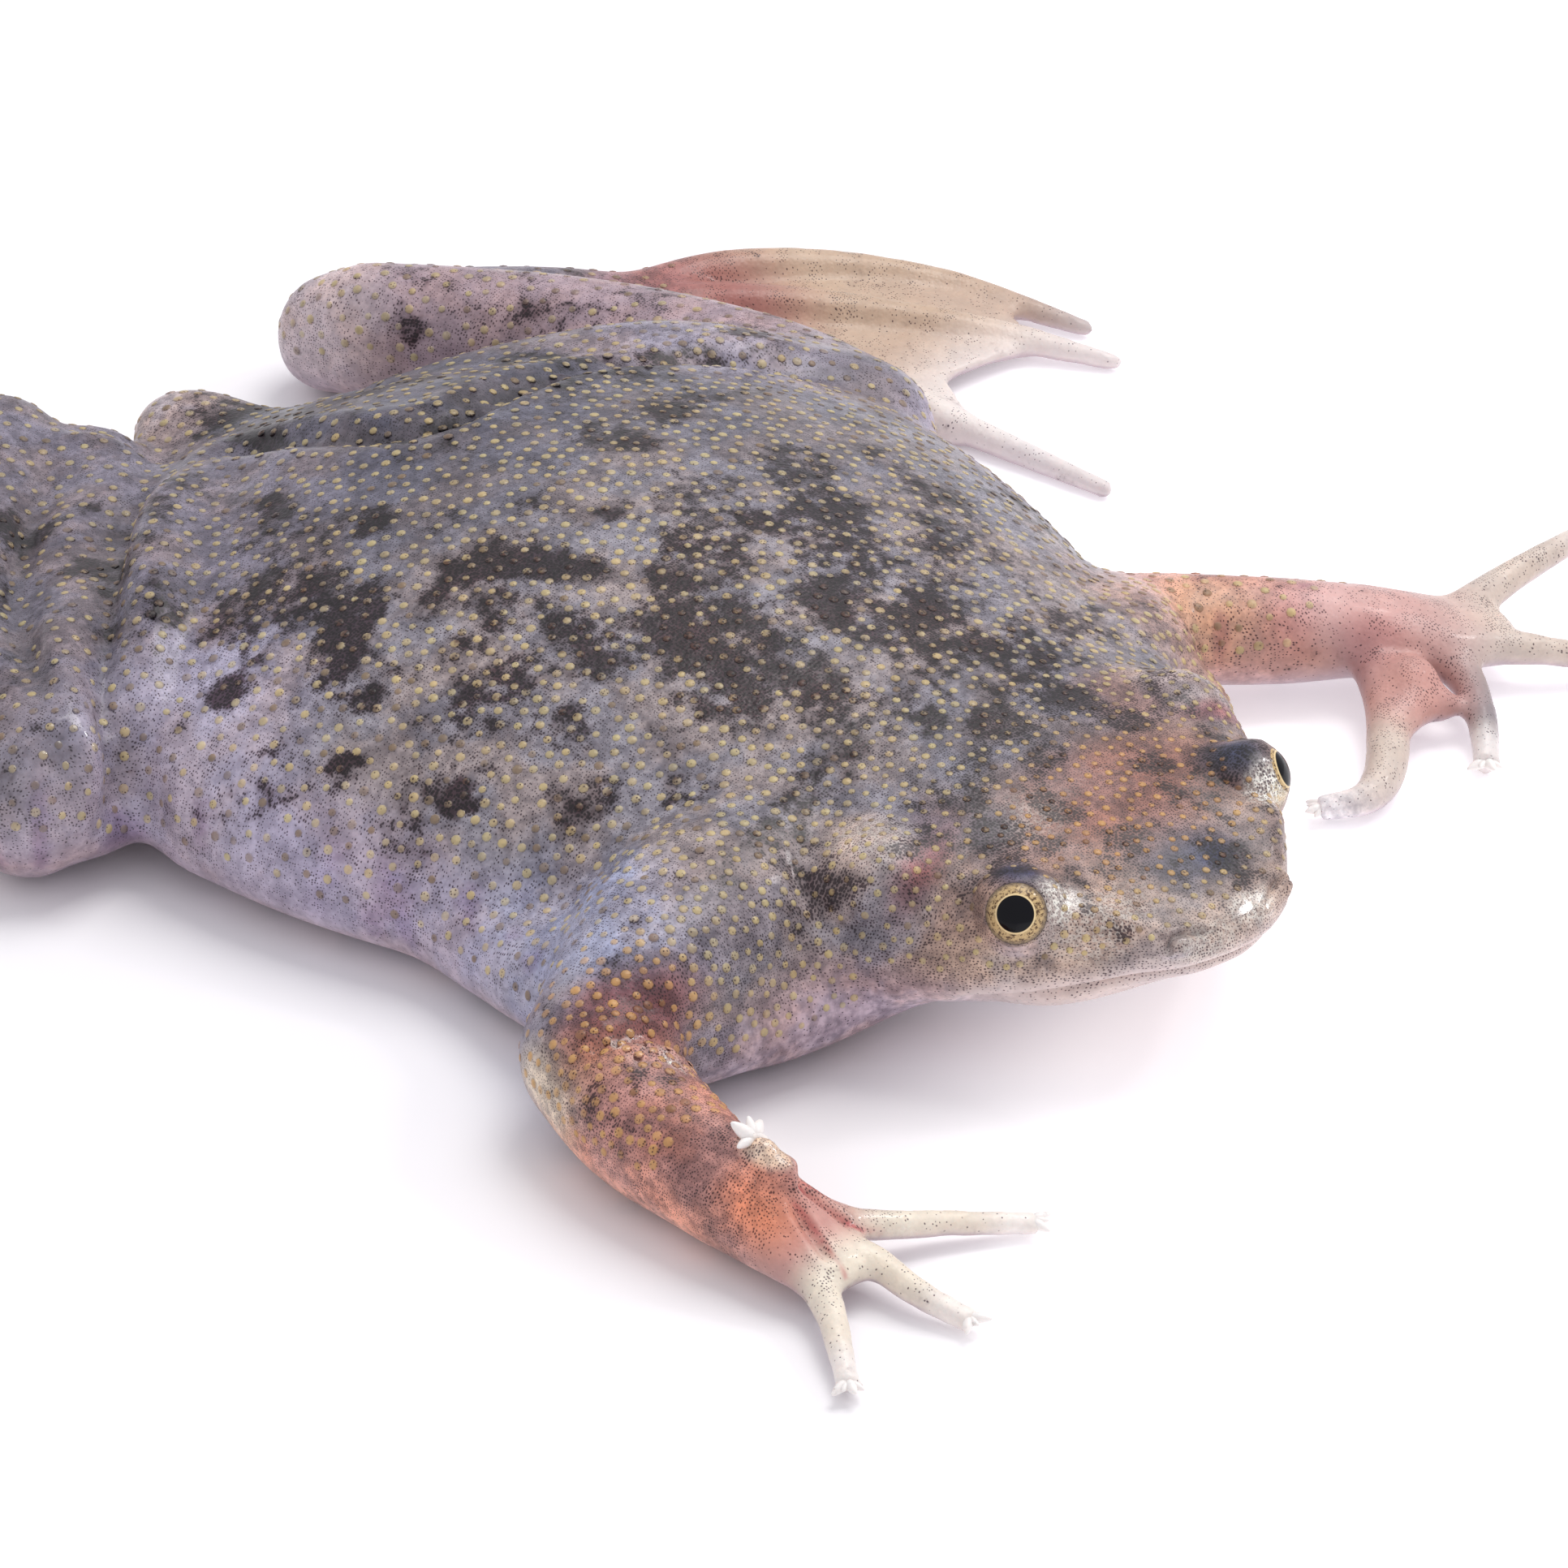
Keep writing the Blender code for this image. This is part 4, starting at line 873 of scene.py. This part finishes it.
def blotch_at(points, normals):
    """How dark the skin's patches are at each point, from 0 to 1."""
    cloud = field(points, 1.3, 1) + 0.6 * field(points, 0.6, 2) + 0.35 * field(points, 0.3, 5)
    wobble = np.stack([field(points, 0.9, 7), field(points, 0.9, 8), np.zeros(len(points))], 1) * 0.4
    moved = points + wobble * (0.4 + 0.6 * ramp(points[:, 1], -13, -11))[:, None]
    dark = np.zeros(len(points))
    for x, y, rx, ry, turn, strength in BLOTCHES:
        dark = np.maximum(dark, blob(moved, (x, y), (rx * 1.35, ry * 1.35), turn, 0.65) * strength)
    for centre, radii, turn, strength in HEAD_MARKS:
        dark = np.maximum(dark, blob(moved, centre, radii, turn, 0.7) * strength)
    wild = ramp(field(points, 2.6, 3) + 0.5 * field(points, 1.1, 4), 0.02, 0.55)
    where = 0.25 + ramp(points[:, 1], -1, 3) * 0.45 + ramp(points[:, 0], 2, 6) * 0.35
    where = where * (1 - 0.7 * blob(points, (-12.5, 5.6), (3.2, 3.0), 0, 0.4))
    calm = [blob(points, centre, radii, turn, 0.3) * share for centre, radii, turn, share in CALM]
    dark = np.maximum(dark, wild * np.clip(where * (1 - sum(calm)), 0, 0.7))
    dark = dark + 0.45 * cloud * (0.35 + dark)
    upper = ramp(normals[:, 2], -0.15, 0.35) * ramp(points[:, 2], 1.0, 2.4)
    for centre, radii in QUIET:
        upper *= 1 - blob(points, centre, radii, 0, 0.2)
    return np.clip(dark, 0, 1.2) * upper * (1 - lips_at(points, 0.5))


# %% The other masks
def speck_at(points, normals):
    """The share of pigment cells that are black, from 0 to 1."""
    x, y, z = points.T
    amount = 0.60 + 0.55 * ramp(-y, 9, 12) + 0.25 * field(points, 1.6, 6) * ramp(y, -13, -10)
    amount = amount + 0.3 * blob(points, (-14, -13.5, 2.5), (2.6, 4.2, 2.4), 0, 0.3)
    crowd = 0.78 * ramp(field(points, 0.55, 21), -0.12, 0.28) * ramp(normals[:, 2], 0.1, 0.7)
    for centre, radii in QUIET:
        mask = blob(points, centre, radii, 0, 0.2)
        amount = amount * (1 - mask) + (0.12 + crowd) * mask
    neck = ramp(-y, 8, 11) * (np.abs(x) < 10)
    low = ramp(z, 0.2, 1.6) * (1 - neck * (1 - ramp(z, 1.8, 3.4)))
    return np.clip(amount * (0.10 + 0.90 * ramp(normals[:, 2], -0.6, 0.1) * low), 0, 1.1)


# Silvery skin with painted wet glints: centre, radii, strength. The small spots on the right elbow and the
# snout tip are painted glints.
SILVER_AND_GLINTS = [((-3.55, -15.75, 4.8), (0.5, 0.55, 0.6), 0.85), ((3.7, -16, 5), (0.6, 0.45, 0.6), 1),
         ((0.5, -18.3, 4), (0.7, 0.35, 0.5), 0.6), ((-1.2, -18.5, 3.8), (1, 0.5, 0.6), 0.35),
         ((-3, -16.6, 4.3), (1.4, 0.8, 0.8), 0.35), ((-5.2, -11.3, 4.8), (0.8, 1.1, 1), 0.35),
         ((-1.9, -13.4, 6), (1, 0.8, 1), 0.25), ((-13.7, -11.1, 3.45), (0.13, 0.13, 0.3), 1),
         ((-13.2, -11.45, 3.4), (0.16, 0.14, 0.3), 1), ((-12.95, -12.3, 3.1), (0.28, 0.20, 0.3), 1),
         ((-12, -18.75, 1), (0.45, 0.14, 0.4), 0.8)]
# Wet places that glint: centre and radius.
WET = [((-13.3, -11.4, 3.4), 0.5), ((-12.4, -12.4, 2.6), 0.6), ((-12.3, -18.4, 1), 0.7),
       ((-1.9, -18.2, 3.7), 0.4), ((-14.9, 6.4, 4), 1.6), ((-15.4, 7.2, 3), 1.2),
       ((0.6, -18.4, 3.9), 0.5), ((-3.4, -15.8, 4.9), 0.5), ((3.9, -15.9, 4.9), 0.7),
       ((-13.7, -16.4, 2.8), 0.5), ((15.3, -9.3, 2.6), 0.5)]


def silver_and_glint_at(points):
    """How silvery the skin is, with its painted glints, from 0 to 1."""
    masks = [blob(points, centre, radii, 0, 0.6) * strength for centre, radii, strength in SILVER_AND_GLINTS]
    return np.maximum.reduce(masks)


def wet_at(points):
    """How much water stands on the skin, from 0 to 1."""
    return np.maximum.reduce([blob(points, centre, [size] * 3) for centre, size in WET])


def mottle_at(points):
    """How strong the clouds of the ground colour are, from 0 to 1."""
    amount = np.ones(len(points))
    for centre, radii in QUIET:
        amount = np.minimum(amount, 1 - 0.85 * blob(points, centre, radii, 0, 0.15))
    amount = amount * (1 - 0.8 * lips_at(points))
    amount = amount * (1 - 0.5 * blob(points, (9.0, 16.5), (4.0, 7.0), 28, 0.3))
    return amount * (1 - 0.45 * ramp(np.abs(points[:, 0]), 9, 12) * (np.abs(points[:, 1]) < 9))


def write_number(piece, name, values):
    """Stores a number for every vertex."""
    layer = piece.data.attributes.new(name=name, type="FLOAT", domain="POINT")
    layer.data.foreach_set("value", values.astype(np.float32).ravel())


def write_looks(piece, tone, blotch, speck, silver_and_glint, mottle, wet):
    """Stores the broad colour and the five masks for every vertex."""
    tone = tone.reshape(-1, 3)
    layer = piece.data.color_attributes.new(name="tone", type="FLOAT_COLOR", domain="POINT")
    layer.data.foreach_set("color", np.c_[tone, np.ones(len(tone))].astype(np.float32).ravel())
    masks = {"blotch": blotch, "speck": speck, "silver_and_glint": silver_and_glint, "mottle": mottle, "wet": wet}
    for name, values in masks.items():
        write_number(piece, name, values)


spots, ups = points_of(skin), normals_of(skin)
write_looks(skin, tone_at(spots, ups), blotch_at(spots, ups), speck_at(spots, ups), silver_and_glint_at(spots),
            mottle_at(spots), wet_at(spots))
print("zones:", len(ZONES), "blotches:", len(BLOTCHES))

# %% [markdown]
# ## Shared pattern groups
# Two effects serve more than one piece, so each is a node group built once. The pigment pattern
# gives the ground its warm and cool clouds, breaks the dark patches up at their edges and scatters
# the tiny black pigment cells, which crowd inside the patches. The moist surface gives the pores
# and the uneven shine of wet skin.

# %% Pigment group
PIGMENT_CELL = 0.078
pigment, given, result = new_group(
    "pigment",
    [("Tone", "NodeSocketColor", (0.4, 0.35, 0.35, 1)), ("Blotch", "NodeSocketFloat", 0.0),
     ("Speck", "NodeSocketFloat", 0.5), ("Silver_and_glint", "NodeSocketFloat", 0.0),
     ("Mottle", "NodeSocketFloat", 1.0)],
    [("Color", "NodeSocketColor")],
)
coordinates = node(pigment, "ShaderNodeTexCoord").outputs
place = coordinates["Object"]
hue = clouds(pigment, place, 520.0, 4.0, 0.55)
cloud = clouds(pigment, place, 900.0, 6.0, 0.62)
middle = clouds(pigment, place, 2600.0, 3.0, 0.6)
fine = clouds(pigment, place, 3600.0, 4.0, 0.65)
sparkle = clouds(pigment, place, 9500.0, 3.0, 0.6)
# warm and cool clouds of the ground colour, then light and dark ones, then a fine grain
ground = given["Tone"]
for pattern, low, high, first, second in (
    (hue, 0.42, 0.60, (0.93, 0.98, 1.07, 1), (1.07, 1.0, 0.95, 1)),
    (cloud, 0.36, 0.66, (0.70, 0.68, 0.71, 1), (1.32, 1.32, 1.32, 1)),
    (fine, 0.34, 0.66, (0.80, 0.80, 0.82, 1), (1.20, 1.20, 1.18, 1)),
):
    tint = mixed(pigment, rise(pigment, pattern, low, high), first, second)
    ground = mixed(pigment, given["Mottle"], ground, tint, "MULTIPLY")
# ragged dark patches
edge = given["Blotch"]
for pattern, share in ((cloud, -1.2), (middle, 1.5), (fine, 0.8)):
    edge = calc(pigment, "MULTIPLY_ADD", calc(pigment, "SUBTRACT", pattern, 0.5), share, edge)
patch = rise(pigment, edge, 0.16, 0.82)
# on the head the patches are mostly crowded dots over a ground that stays lighter
deep = calc(pigment, "MULTIPLY", patch, rise(pigment, given["Speck"], 0.75, 1.05, 1.0, 0.50))
dark = mixed(pigment, deep, ground, (0.18, 0.11, 0.135, 1), "MULTIPLY")
# silvery skin and painted glints, with brighter flecks
silver_and_glint = calc(pigment, "MULTIPLY", rise(pigment, sparkle, 0.44, 0.58, 0.25, 1.0), given["Silver_and_glint"])
dark = mixed(pigment, silver_and_glint, dark, (0.90, 0.88, 0.80, 1))
# the pigment dots lie in the skin, so they are drawn flat, from above, from the side or the front
slope = node(pigment, "ShaderNodeSeparateXYZ", {"Vector": coordinates["Normal"]}).outputs
spot = node(pigment, "ShaderNodeSeparateXYZ", {"Vector": place}).outputs
from_above, from_side, from_front = (
    node(pigment, "ShaderNodeCombineXYZ", {"X": spot[first], "Y": spot[second]}).outputs[0]
    for first, second in ("XY", "YZ", "XZ"))
steep_x, steep_y = (calc(pigment, "ABSOLUTE", slope[axis]) for axis in "XY")
across = calc(pigment, "GREATER_THAN", calc(pigment, "SUBTRACT", steep_x, steep_y), 0.0)
level = calc(pigment, "ADD", slope["Z"], rise(pigment, cloud, 0.3, 0.7, -0.12, 0.12))
flat = either(pigment, calc(pigment, "GREATER_THAN", level, 0.62),
              either(pigment, across, from_front, from_side), from_above)
cells = {"Vector": flat, "Scale": 1 / (PIGMENT_CELL * MM), "Randomness": 0.68}
cells = node(pigment, "ShaderNodeTexVoronoi", cells, voronoi_dimensions="2D").outputs
chance = node(pigment, "ShaderNodeSeparateColor", {"Color": cells["Color"]}).outputs["Red"]
# a dot is wider in a dark patch, and more of the cells there have one
reach = calc(pigment, "MULTIPLY_ADD", patch, 0.26, 0.19)
reach = calc(pigment, "ADD", reach, rise(pigment, middle, 0.40, 0.66, -0.02, 0.10))
dot = rise(pigment, calc(pigment, "SUBTRACT", reach, cells["Distance"]), -0.08, 0.08)
full = calc(pigment, "MULTIPLY_ADD", patch, 0.3, given["Speck"])
dot = calc(pigment, "MULTIPLY", dot, rise(pigment, calc(pigment, "SUBTRACT", full, chance), -0.04, 0.04))
dot = calc(pigment, "MULTIPLY", dot, 0.92)
pigment.links.new(mixed(pigment, dot, dark, (0.15, 0.11, 0.14, 1), "MULTIPLY"), result["Color"])

# %% Moist surface group
PORE = 0.10
moist, given, result = new_group(
    "moist_surface",
    [("Water", "NodeSocketFloat", 0.0)],
    [("Roughness", "NodeSocketFloat"), ("Height", "NodeSocketFloat"), ("Film", "NodeSocketFloat")],
)
place = node(moist, "ShaderNodeTexCoord").outputs["Object"]
pores = {"Vector": place, "Scale": 1 / (PORE * MM), "Randomness": 1.0}
pores = node(moist, "ShaderNodeTexVoronoi", pores, feature="SMOOTH_F1").outputs["Distance"]
pores = calc(moist, "MULTIPLY", pores, 0.5)
rough = rise(moist, clouds(moist, place, 800.0, 3.0), 0.35, 0.65, 0.34, 0.54)
rough = calc(moist, "MULTIPLY", rough, rise(moist, given["Water"], 0.0, 1.0, 1.0, 0.5))
feed(moist, result["Roughness"], rough)
feed(moist, result["Height"], calc(moist, "SUBTRACT", clouds(moist, place, 2200.0, 5.0, 0.6), pores))
feed(moist, result["Film"], rise(moist, given["Water"], 0.0, 1.0, 0.12, 0.7))
print("groups:", [group.name for group in bpy.data.node_groups])

# %% Skin material
skin_finish, tree = new_finish("moist_skin")
masks = {name.capitalize(): stored(tree, name) for name in ("blotch", "speck", "silver_and_glint", "mottle")}
colours = node(tree, "ShaderNodeGroup", {"Tone": stored(tree, "tone", "Color"), **masks}, node_tree=pigment)
surface = node(tree, "ShaderNodeGroup", {"Water": stored(tree, "wet")}, node_tree=moist).outputs
bump = node(tree, "ShaderNodeBump", {"Strength": 0.5, "Distance": 0.05 * MM, "Height": surface["Height"]})
feed_shader(tree, {
    "Base Color": colours.outputs["Color"], "Roughness": surface["Roughness"],
    "Normal": bump.outputs["Normal"], "Specular IOR Level": 0.35,
    "Subsurface Weight": 0.12, "Subsurface Scale": 0.4 * MM, "Subsurface Radius": (1.0, 0.6, 0.5),
    "Coat Weight": surface["Film"], "Coat Roughness": 0.09,
})
skin.data.materials.append(skin_finish)
shade_smooth(skin)
print("skin finish:", skin_finish.name)

# %% [markdown]
# ## The tubercles
# Every part of the upper skin carries low yellowish tubercles, each about a quarter of a millimetre
# wide and a third to a half of a millimetre from the next. One low dome is modelled from a ball,
# and copies of it are set on the skin, each turned to the skin's own slope. Bump alone would give
# the shine but not the tiny outline and the shadow of each.

# %% Model one tubercle
def unit_ball(segments, rings, floor=None):
    """The points and triangles of a ball of radius 1, cut off below the floor if there is one."""
    ball = new_ball(1 / MM, segments, rings)
    bpy.ops.object.mode_set(mode="EDIT")
    bpy.ops.mesh.select_all(action="SELECT")
    if floor is not None:
        bpy.ops.mesh.bisect(plane_co=(0, 0, floor), plane_no=(0, 0, 1), clear_inner=True)
        bpy.ops.mesh.select_all(action="SELECT")
    bpy.ops.mesh.quads_convert_to_tris()
    bpy.ops.object.mode_set(mode="OBJECT")
    points = points_of(ball) * MM
    triangles = np.array([list(polygon.vertices) for polygon in ball.data.polygons])
    bpy.data.objects.remove(ball)
    return points, triangles


def piece_of_copies(name, copies, triangles):
    """One piece with the skin's finish, from copies of a shape that all have the same triangles."""
    firsts = np.arange(len(copies)) * copies.shape[1]
    corners = (triangles[None] + firsts[:, None, None]).reshape(-1, 3)
    mesh = bpy.data.meshes.new(name)
    mesh.from_pydata((copies.reshape(-1, 3) * MM).tolist(), [], corners.tolist())
    mesh.materials.append(skin_finish)
    made = bpy.data.objects.new(name, mesh)
    scene.collection.objects.link(made)
    shade_smooth(made)
    return made


dome_points, dome_faces = unit_ball(8, 4, floor=-0.02)
dome_points[:, 2] = dome_points[:, 2] * 0.34 - 0.09
print("one tubercle:", len(dome_points), "points,", len(dome_faces), "triangles")

# %% Unwrap the skin
only(skin)
while skin.data.uv_layers:
    skin.data.uv_layers.remove(skin.data.uv_layers[0])
skin.data.uv_layers.new(name="OFBake")
bpy.ops.object.mode_set(mode="EDIT")
bpy.ops.mesh.select_all(action="SELECT")
bpy.ops.uv.smart_project(angle_limit=1.15, island_margin=0.002, scale_to_bounds=True)
bpy.ops.object.mode_set(mode="OBJECT")
skin_uv = rows_of(skin.data.uv_layers["OFBake"].data, "uv", 2)
print("unwrapped:", len(skin.data.loops), "corners")

# %% Choose the places
YELLOW = srgb(188, 172, 122)
OCHRE = srgb(194, 148, 88)
SAMPLES = 150000
CROWD_CELL = 0.9
draw = np.random.default_rng(11)


def spacing_at(points):
    """How far apart the tubercles stand, in millimetres."""
    x, y, z = points.T
    flank = ramp(np.abs(x), 9.5, 12.5) * ramp(y, -10, -8)
    return 0.36 - 0.05 * ramp(-y, 6.5, 10.5) + 0.12 * flank + 0.08 * ramp(y, 8, 14)


def room_at(points, normals):
    """Where tubercles may grow: 1 on the upper skin, 0 on belly, digits, lips and eyes."""
    x, y, z = points.T
    room = ramp(normals[:, 2], -0.1, 0.15) * ramp(z, 1.2, 2.0)
    for centre, radii in QUIET:
        room = room * (1 - blob(points, centre, radii, 0, 0.1))
    for place in EYE_PLACE.values():
        room = room * ramp(far_from(points, place), 1.02, 1.14)
    room = room * (1 - ramp(-y, 13.6, 14.6) * (1 - ramp(over_jaw(points), 0.7, 1.0)))
    return room * (1 - ramp(-y, 17.6, 18.2) * (np.abs(x) < 6))


skin.data.calc_loop_triangles()
corners = rows_of(skin.data.loop_triangles, "vertices", 3, np.int32)
corner_loops = rows_of(skin.data.loop_triangles, "loops", 3, np.int32)
spots, ups = points_of(skin), normals_of(skin)
a, b, c = (spots[corners[:, k]] for k in range(3))
areas = np.linalg.norm(np.cross(b - a, c - a), axis=1) / 2
chosen = draw.choice(len(corners), size=SAMPLES, p=areas / areas.sum())
u, v = draw.random(SAMPLES), draw.random(SAMPLES)
over = u + v > 1
u[over], v[over] = 1 - u[over], 1 - v[over]
weights = np.stack([1 - u - v, u, v], 1)[:, :, None]
places = (spots[corners[chosen]] * weights).sum(1)
slopes = (ups[corners[chosen]] * weights).sum(1)
slopes /= np.linalg.norm(slopes, axis=1)[:, None]
homes = (skin_uv[corner_loops[chosen]] * weights).sum(1)
gaps = spacing_at(places)
keep = room_at(places, slopes) > draw.random(SAMPLES) * 0.6 + 0.3
cells, kept = {}, []
for index in np.flatnonzero(keep):
    p = places[index]
    column = [(int(v) - 1, int(v), int(v) + 1) for v in p // CROWD_CELL]
    near = [other for cell in itertools.product(*column) for other in cells.get(cell, ())]
    if all(((places[other] - p) ** 2).sum() >= gaps[index] ** 2 for other in near):
        cells.setdefault(tuple(middle for low, middle, high in column), []).append(index)
        kept.append(index)
places, slopes, homes = places[kept], slopes[kept], homes[kept]
print("tubercles:", len(kept))


# %% Set the tubercles on the skin
def turned_to(slopes, spin):
    """A frame for each slope, with its third axis along it, turned by a random spin."""
    side = np.cross(slopes, np.where(np.abs(slopes[:, :1]) < 0.9, [[1.0, 0, 0]], [[0, 1.0, 0]]))
    side /= np.linalg.norm(side, axis=1)[:, None]
    front = np.cross(slopes, side)
    c, s = np.cos(spin)[:, None], np.sin(spin)[:, None]
    return np.stack([side * c + front * s, front * c - side * s, slopes], 2)


x, y, z = places.T
radii = 0.112 + 0.050 * draw.random(len(kept))
radii *= 1 - 0.22 * ramp(-y, 7, 13) * ramp(-np.abs(x), -10.5, -8.5)
frames = turned_to(slopes, draw.random(len(kept)) * math.tau)
grown = np.einsum("nij,kj->nki", frames, dome_points) * radii[:, None, None] + places[:, None]
tubercles = piece_of_copies("tubercles", grown, dome_faces)
print("tubercle triangles:", len(tubercles.data.polygons))

# %% Colour the tubercles
DULL = (0.42, 0.36, 0.40)
UV_REACH = 0.0015
warm = np.maximum(blob(places, (0.6, -14.4), (4, 2.4)), blob(places, (-13.6, -12.0), (2.8, 4), 0, 0.3))
warm = np.clip(warm + 0.25 * draw.random(len(kept)), 0, 1)
tip_colour = painted(np.tile(YELLOW, (len(kept), 1)), OCHRE, warm)
dull_share = 0.06 + 0.30 * ramp(np.abs(x), 6.5, 9.5) * ramp(y, -9, -7)
dull = (draw.random(len(kept)) < dull_share)[:, None]
tip_colour = tip_colour * (1 - 0.16 * ramp(y, 4, 12))[:, None]
tip_colour = np.where(dull, tip_colour * DULL, tip_colour)
tip = ramp(dome_points[:, 2], -0.09, 0.20) * (0.55 + 0.35 * draw.random(len(kept)))[:, None]
tone = tone_at(places, slopes)[:, None] * (1 - tip[:, :, None]) + tip_colour[:, None] * tip[:, :, None]
write_looks(
    tubercles, tone,
    blotch=blotch_at(places, slopes)[:, None] * (1 - 0.48 * tip),
    speck=speck_at(places, slopes)[:, None] * (1 - 0.9 * tip),
    silver_and_glint=np.zeros(tip.size),
    mottle=1 - 0.8 * tip,
    wet=np.repeat(wet_at(places), len(dome_points)),
)
uv = (homes[:, None] + dome_points[None, :, :2] * UV_REACH).reshape(-1, 2)
layer = tubercles.data.uv_layers.new(name="OFBake")
loop_vertex = rows_of(tubercles.data.loops, "vertex_index", 1, np.int32)[:, 0]
layer.data.foreach_set("uv", uv[loop_vertex].astype(np.float32).ravel())
print("warm tips:", int((warm > 0.5).sum()), "dull tips:", int(dull.sum()))

# %% [markdown]
# ## The stars on the fingertips
# The real fingers end in four tiny soft lobes, set like a star, which feel for food. One lobe is a
# stretched ball that tapers to its end, and four copies fan out from each finger. They are too
# small for the remeshed skin, so they are a piece of their own that sinks a little into it.

# %% Fingertip lobes
LOBE_LENGTH = 0.50
LOBE_SINK = 0.08
GROUND_GAP = 0.03
FAN, RAISED_FAN = (-52, -18, 18, 52), (-80, -28, 28, 80, 150)
lobe_points, lobe_faces = unit_ball(14, 10)
lift = (lobe_points[:, 2] + 1) / 2
lobe_points[:, :2] *= (0.145 - 0.070 * lift)[:, None]
lobe_points[:, 2] = lift * LOBE_LENGTH - LOBE_SINK

stars = []
for index, (end, way) in enumerate(FINGER_ENDS):
    end, way = np.array(end), np.array(way) / np.linalg.norm(way)
    flat = np.cross(way, (0, 0, 1.0))
    flat /= np.linalg.norm(flat)
    high = np.cross(flat, way)
    for k, spread in enumerate(FAN if index else RAISED_FAN):
        turn = math.radians(spread + 8 * math.sin(index * 2.3 + k))
        aim = way * math.cos(turn) + flat * math.sin(turn) + high * (0.16 if k in (1, 2) else -0.12)
        aim /= np.linalg.norm(aim)
        size = (1.0 if index else 1.35) * (0.85 + 0.3 * math.sin(3.1 * index + 1.7 * k) ** 2)
        root = end + way * 0.02 + flat * math.sin(turn) * 0.10
        stars.append(lobe_points * size @ turned_to(aim[None], np.zeros(1))[0].T + root)
stars = np.stack(stars)
stars[:, :, 2] = np.maximum(stars[:, :, 2], GROUND_GAP)
lobes = piece_of_copies("finger_lobes", stars, lobe_faces)
count = len(lobes.data.vertices)
write_looks(lobes, np.tile(WHITE_TIP, (count, 1)), *[np.zeros(count)] * 5)
print("lobes:", len(stars))

# %% [markdown]
# ## The eyes
# The eyes have no lids. Each is a wet ball with a gold iris full of dark specks, a thin bright ring,
# and a round black pupil. The pattern is drawn by distance from the eye's own axis, which is
# stored on the ball's points, so both eyes share one material.

# %% Eye material
eye_finish, tree = new_finish("wet_eye")
off_axis = stored(tree, "off_axis")
place = node(tree, "ShaderNodeTexCoord").outputs["Object"]
flecks = rise(tree, clouds(tree, place, 11000.0, 4.0, 0.7), 0.46, 0.60)
iris = mixed(tree, flecks, (0.56, 0.40, 0.20, 1), (0.10, 0.055, 0.03, 1))
iris = mixed(tree, rise(tree, off_axis, 0.70, 0.88, 0.0, 0.75), iris, (0.16, 0.12, 0.09, 1))
ring = mixed(tree, rise(tree, off_axis, 0.51, 0.56), (0.80, 0.62, 0.34, 1), iris)
rim = mixed(tree, rise(tree, off_axis, 0.88, 0.94), ring, (0.05, 0.05, 0.06, 1))
feed_shader(tree, {
    "Base Color": mixed(tree, rise(tree, off_axis, 0.475, 0.50), (0.001, 0.001, 0.003, 1), rim),
    "Roughness": 0.22, "Specular IOR Level": 0.08, "Coat Weight": 0.25, "Coat Roughness": 0.03,
})

# %% Eyeballs
for side, place in EYE_PLACE.items():
    ball = new_ball(EYE_RADIUS, 72, 48)
    ball.name = f"eyeball_{side}"
    balls = points_of(ball)
    height = balls[:, 2] / EYE_RADIUS
    # the clear front bulges a little, and the back draws in under the skin
    balls *= (1 + 0.04 * ramp(height, 0.55, 1.0) - 0.45 * ramp(-height, -0.52, 0.1))[:, None]
    write_number(ball, "off_axis", np.arccos(np.clip(height, -1, 1)))
    turn = np.array(Vector(EYE_AXIS[side]).normalized().to_track_quat("Z", "Y").to_matrix())
    move_points(ball, balls @ turn.T + np.array(place))
    shade_smooth(ball)
    ball.data.materials.append(eye_finish)
    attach(ball, "root")
    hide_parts(f"eye_{side}")
print("eyes:", list(EYE_PLACE))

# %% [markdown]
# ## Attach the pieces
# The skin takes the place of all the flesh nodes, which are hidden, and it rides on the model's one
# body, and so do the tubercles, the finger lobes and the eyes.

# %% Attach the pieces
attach(skin, "root")
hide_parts(*flesh_nodes)
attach(tubercles, "root")
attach(lobes, "root")
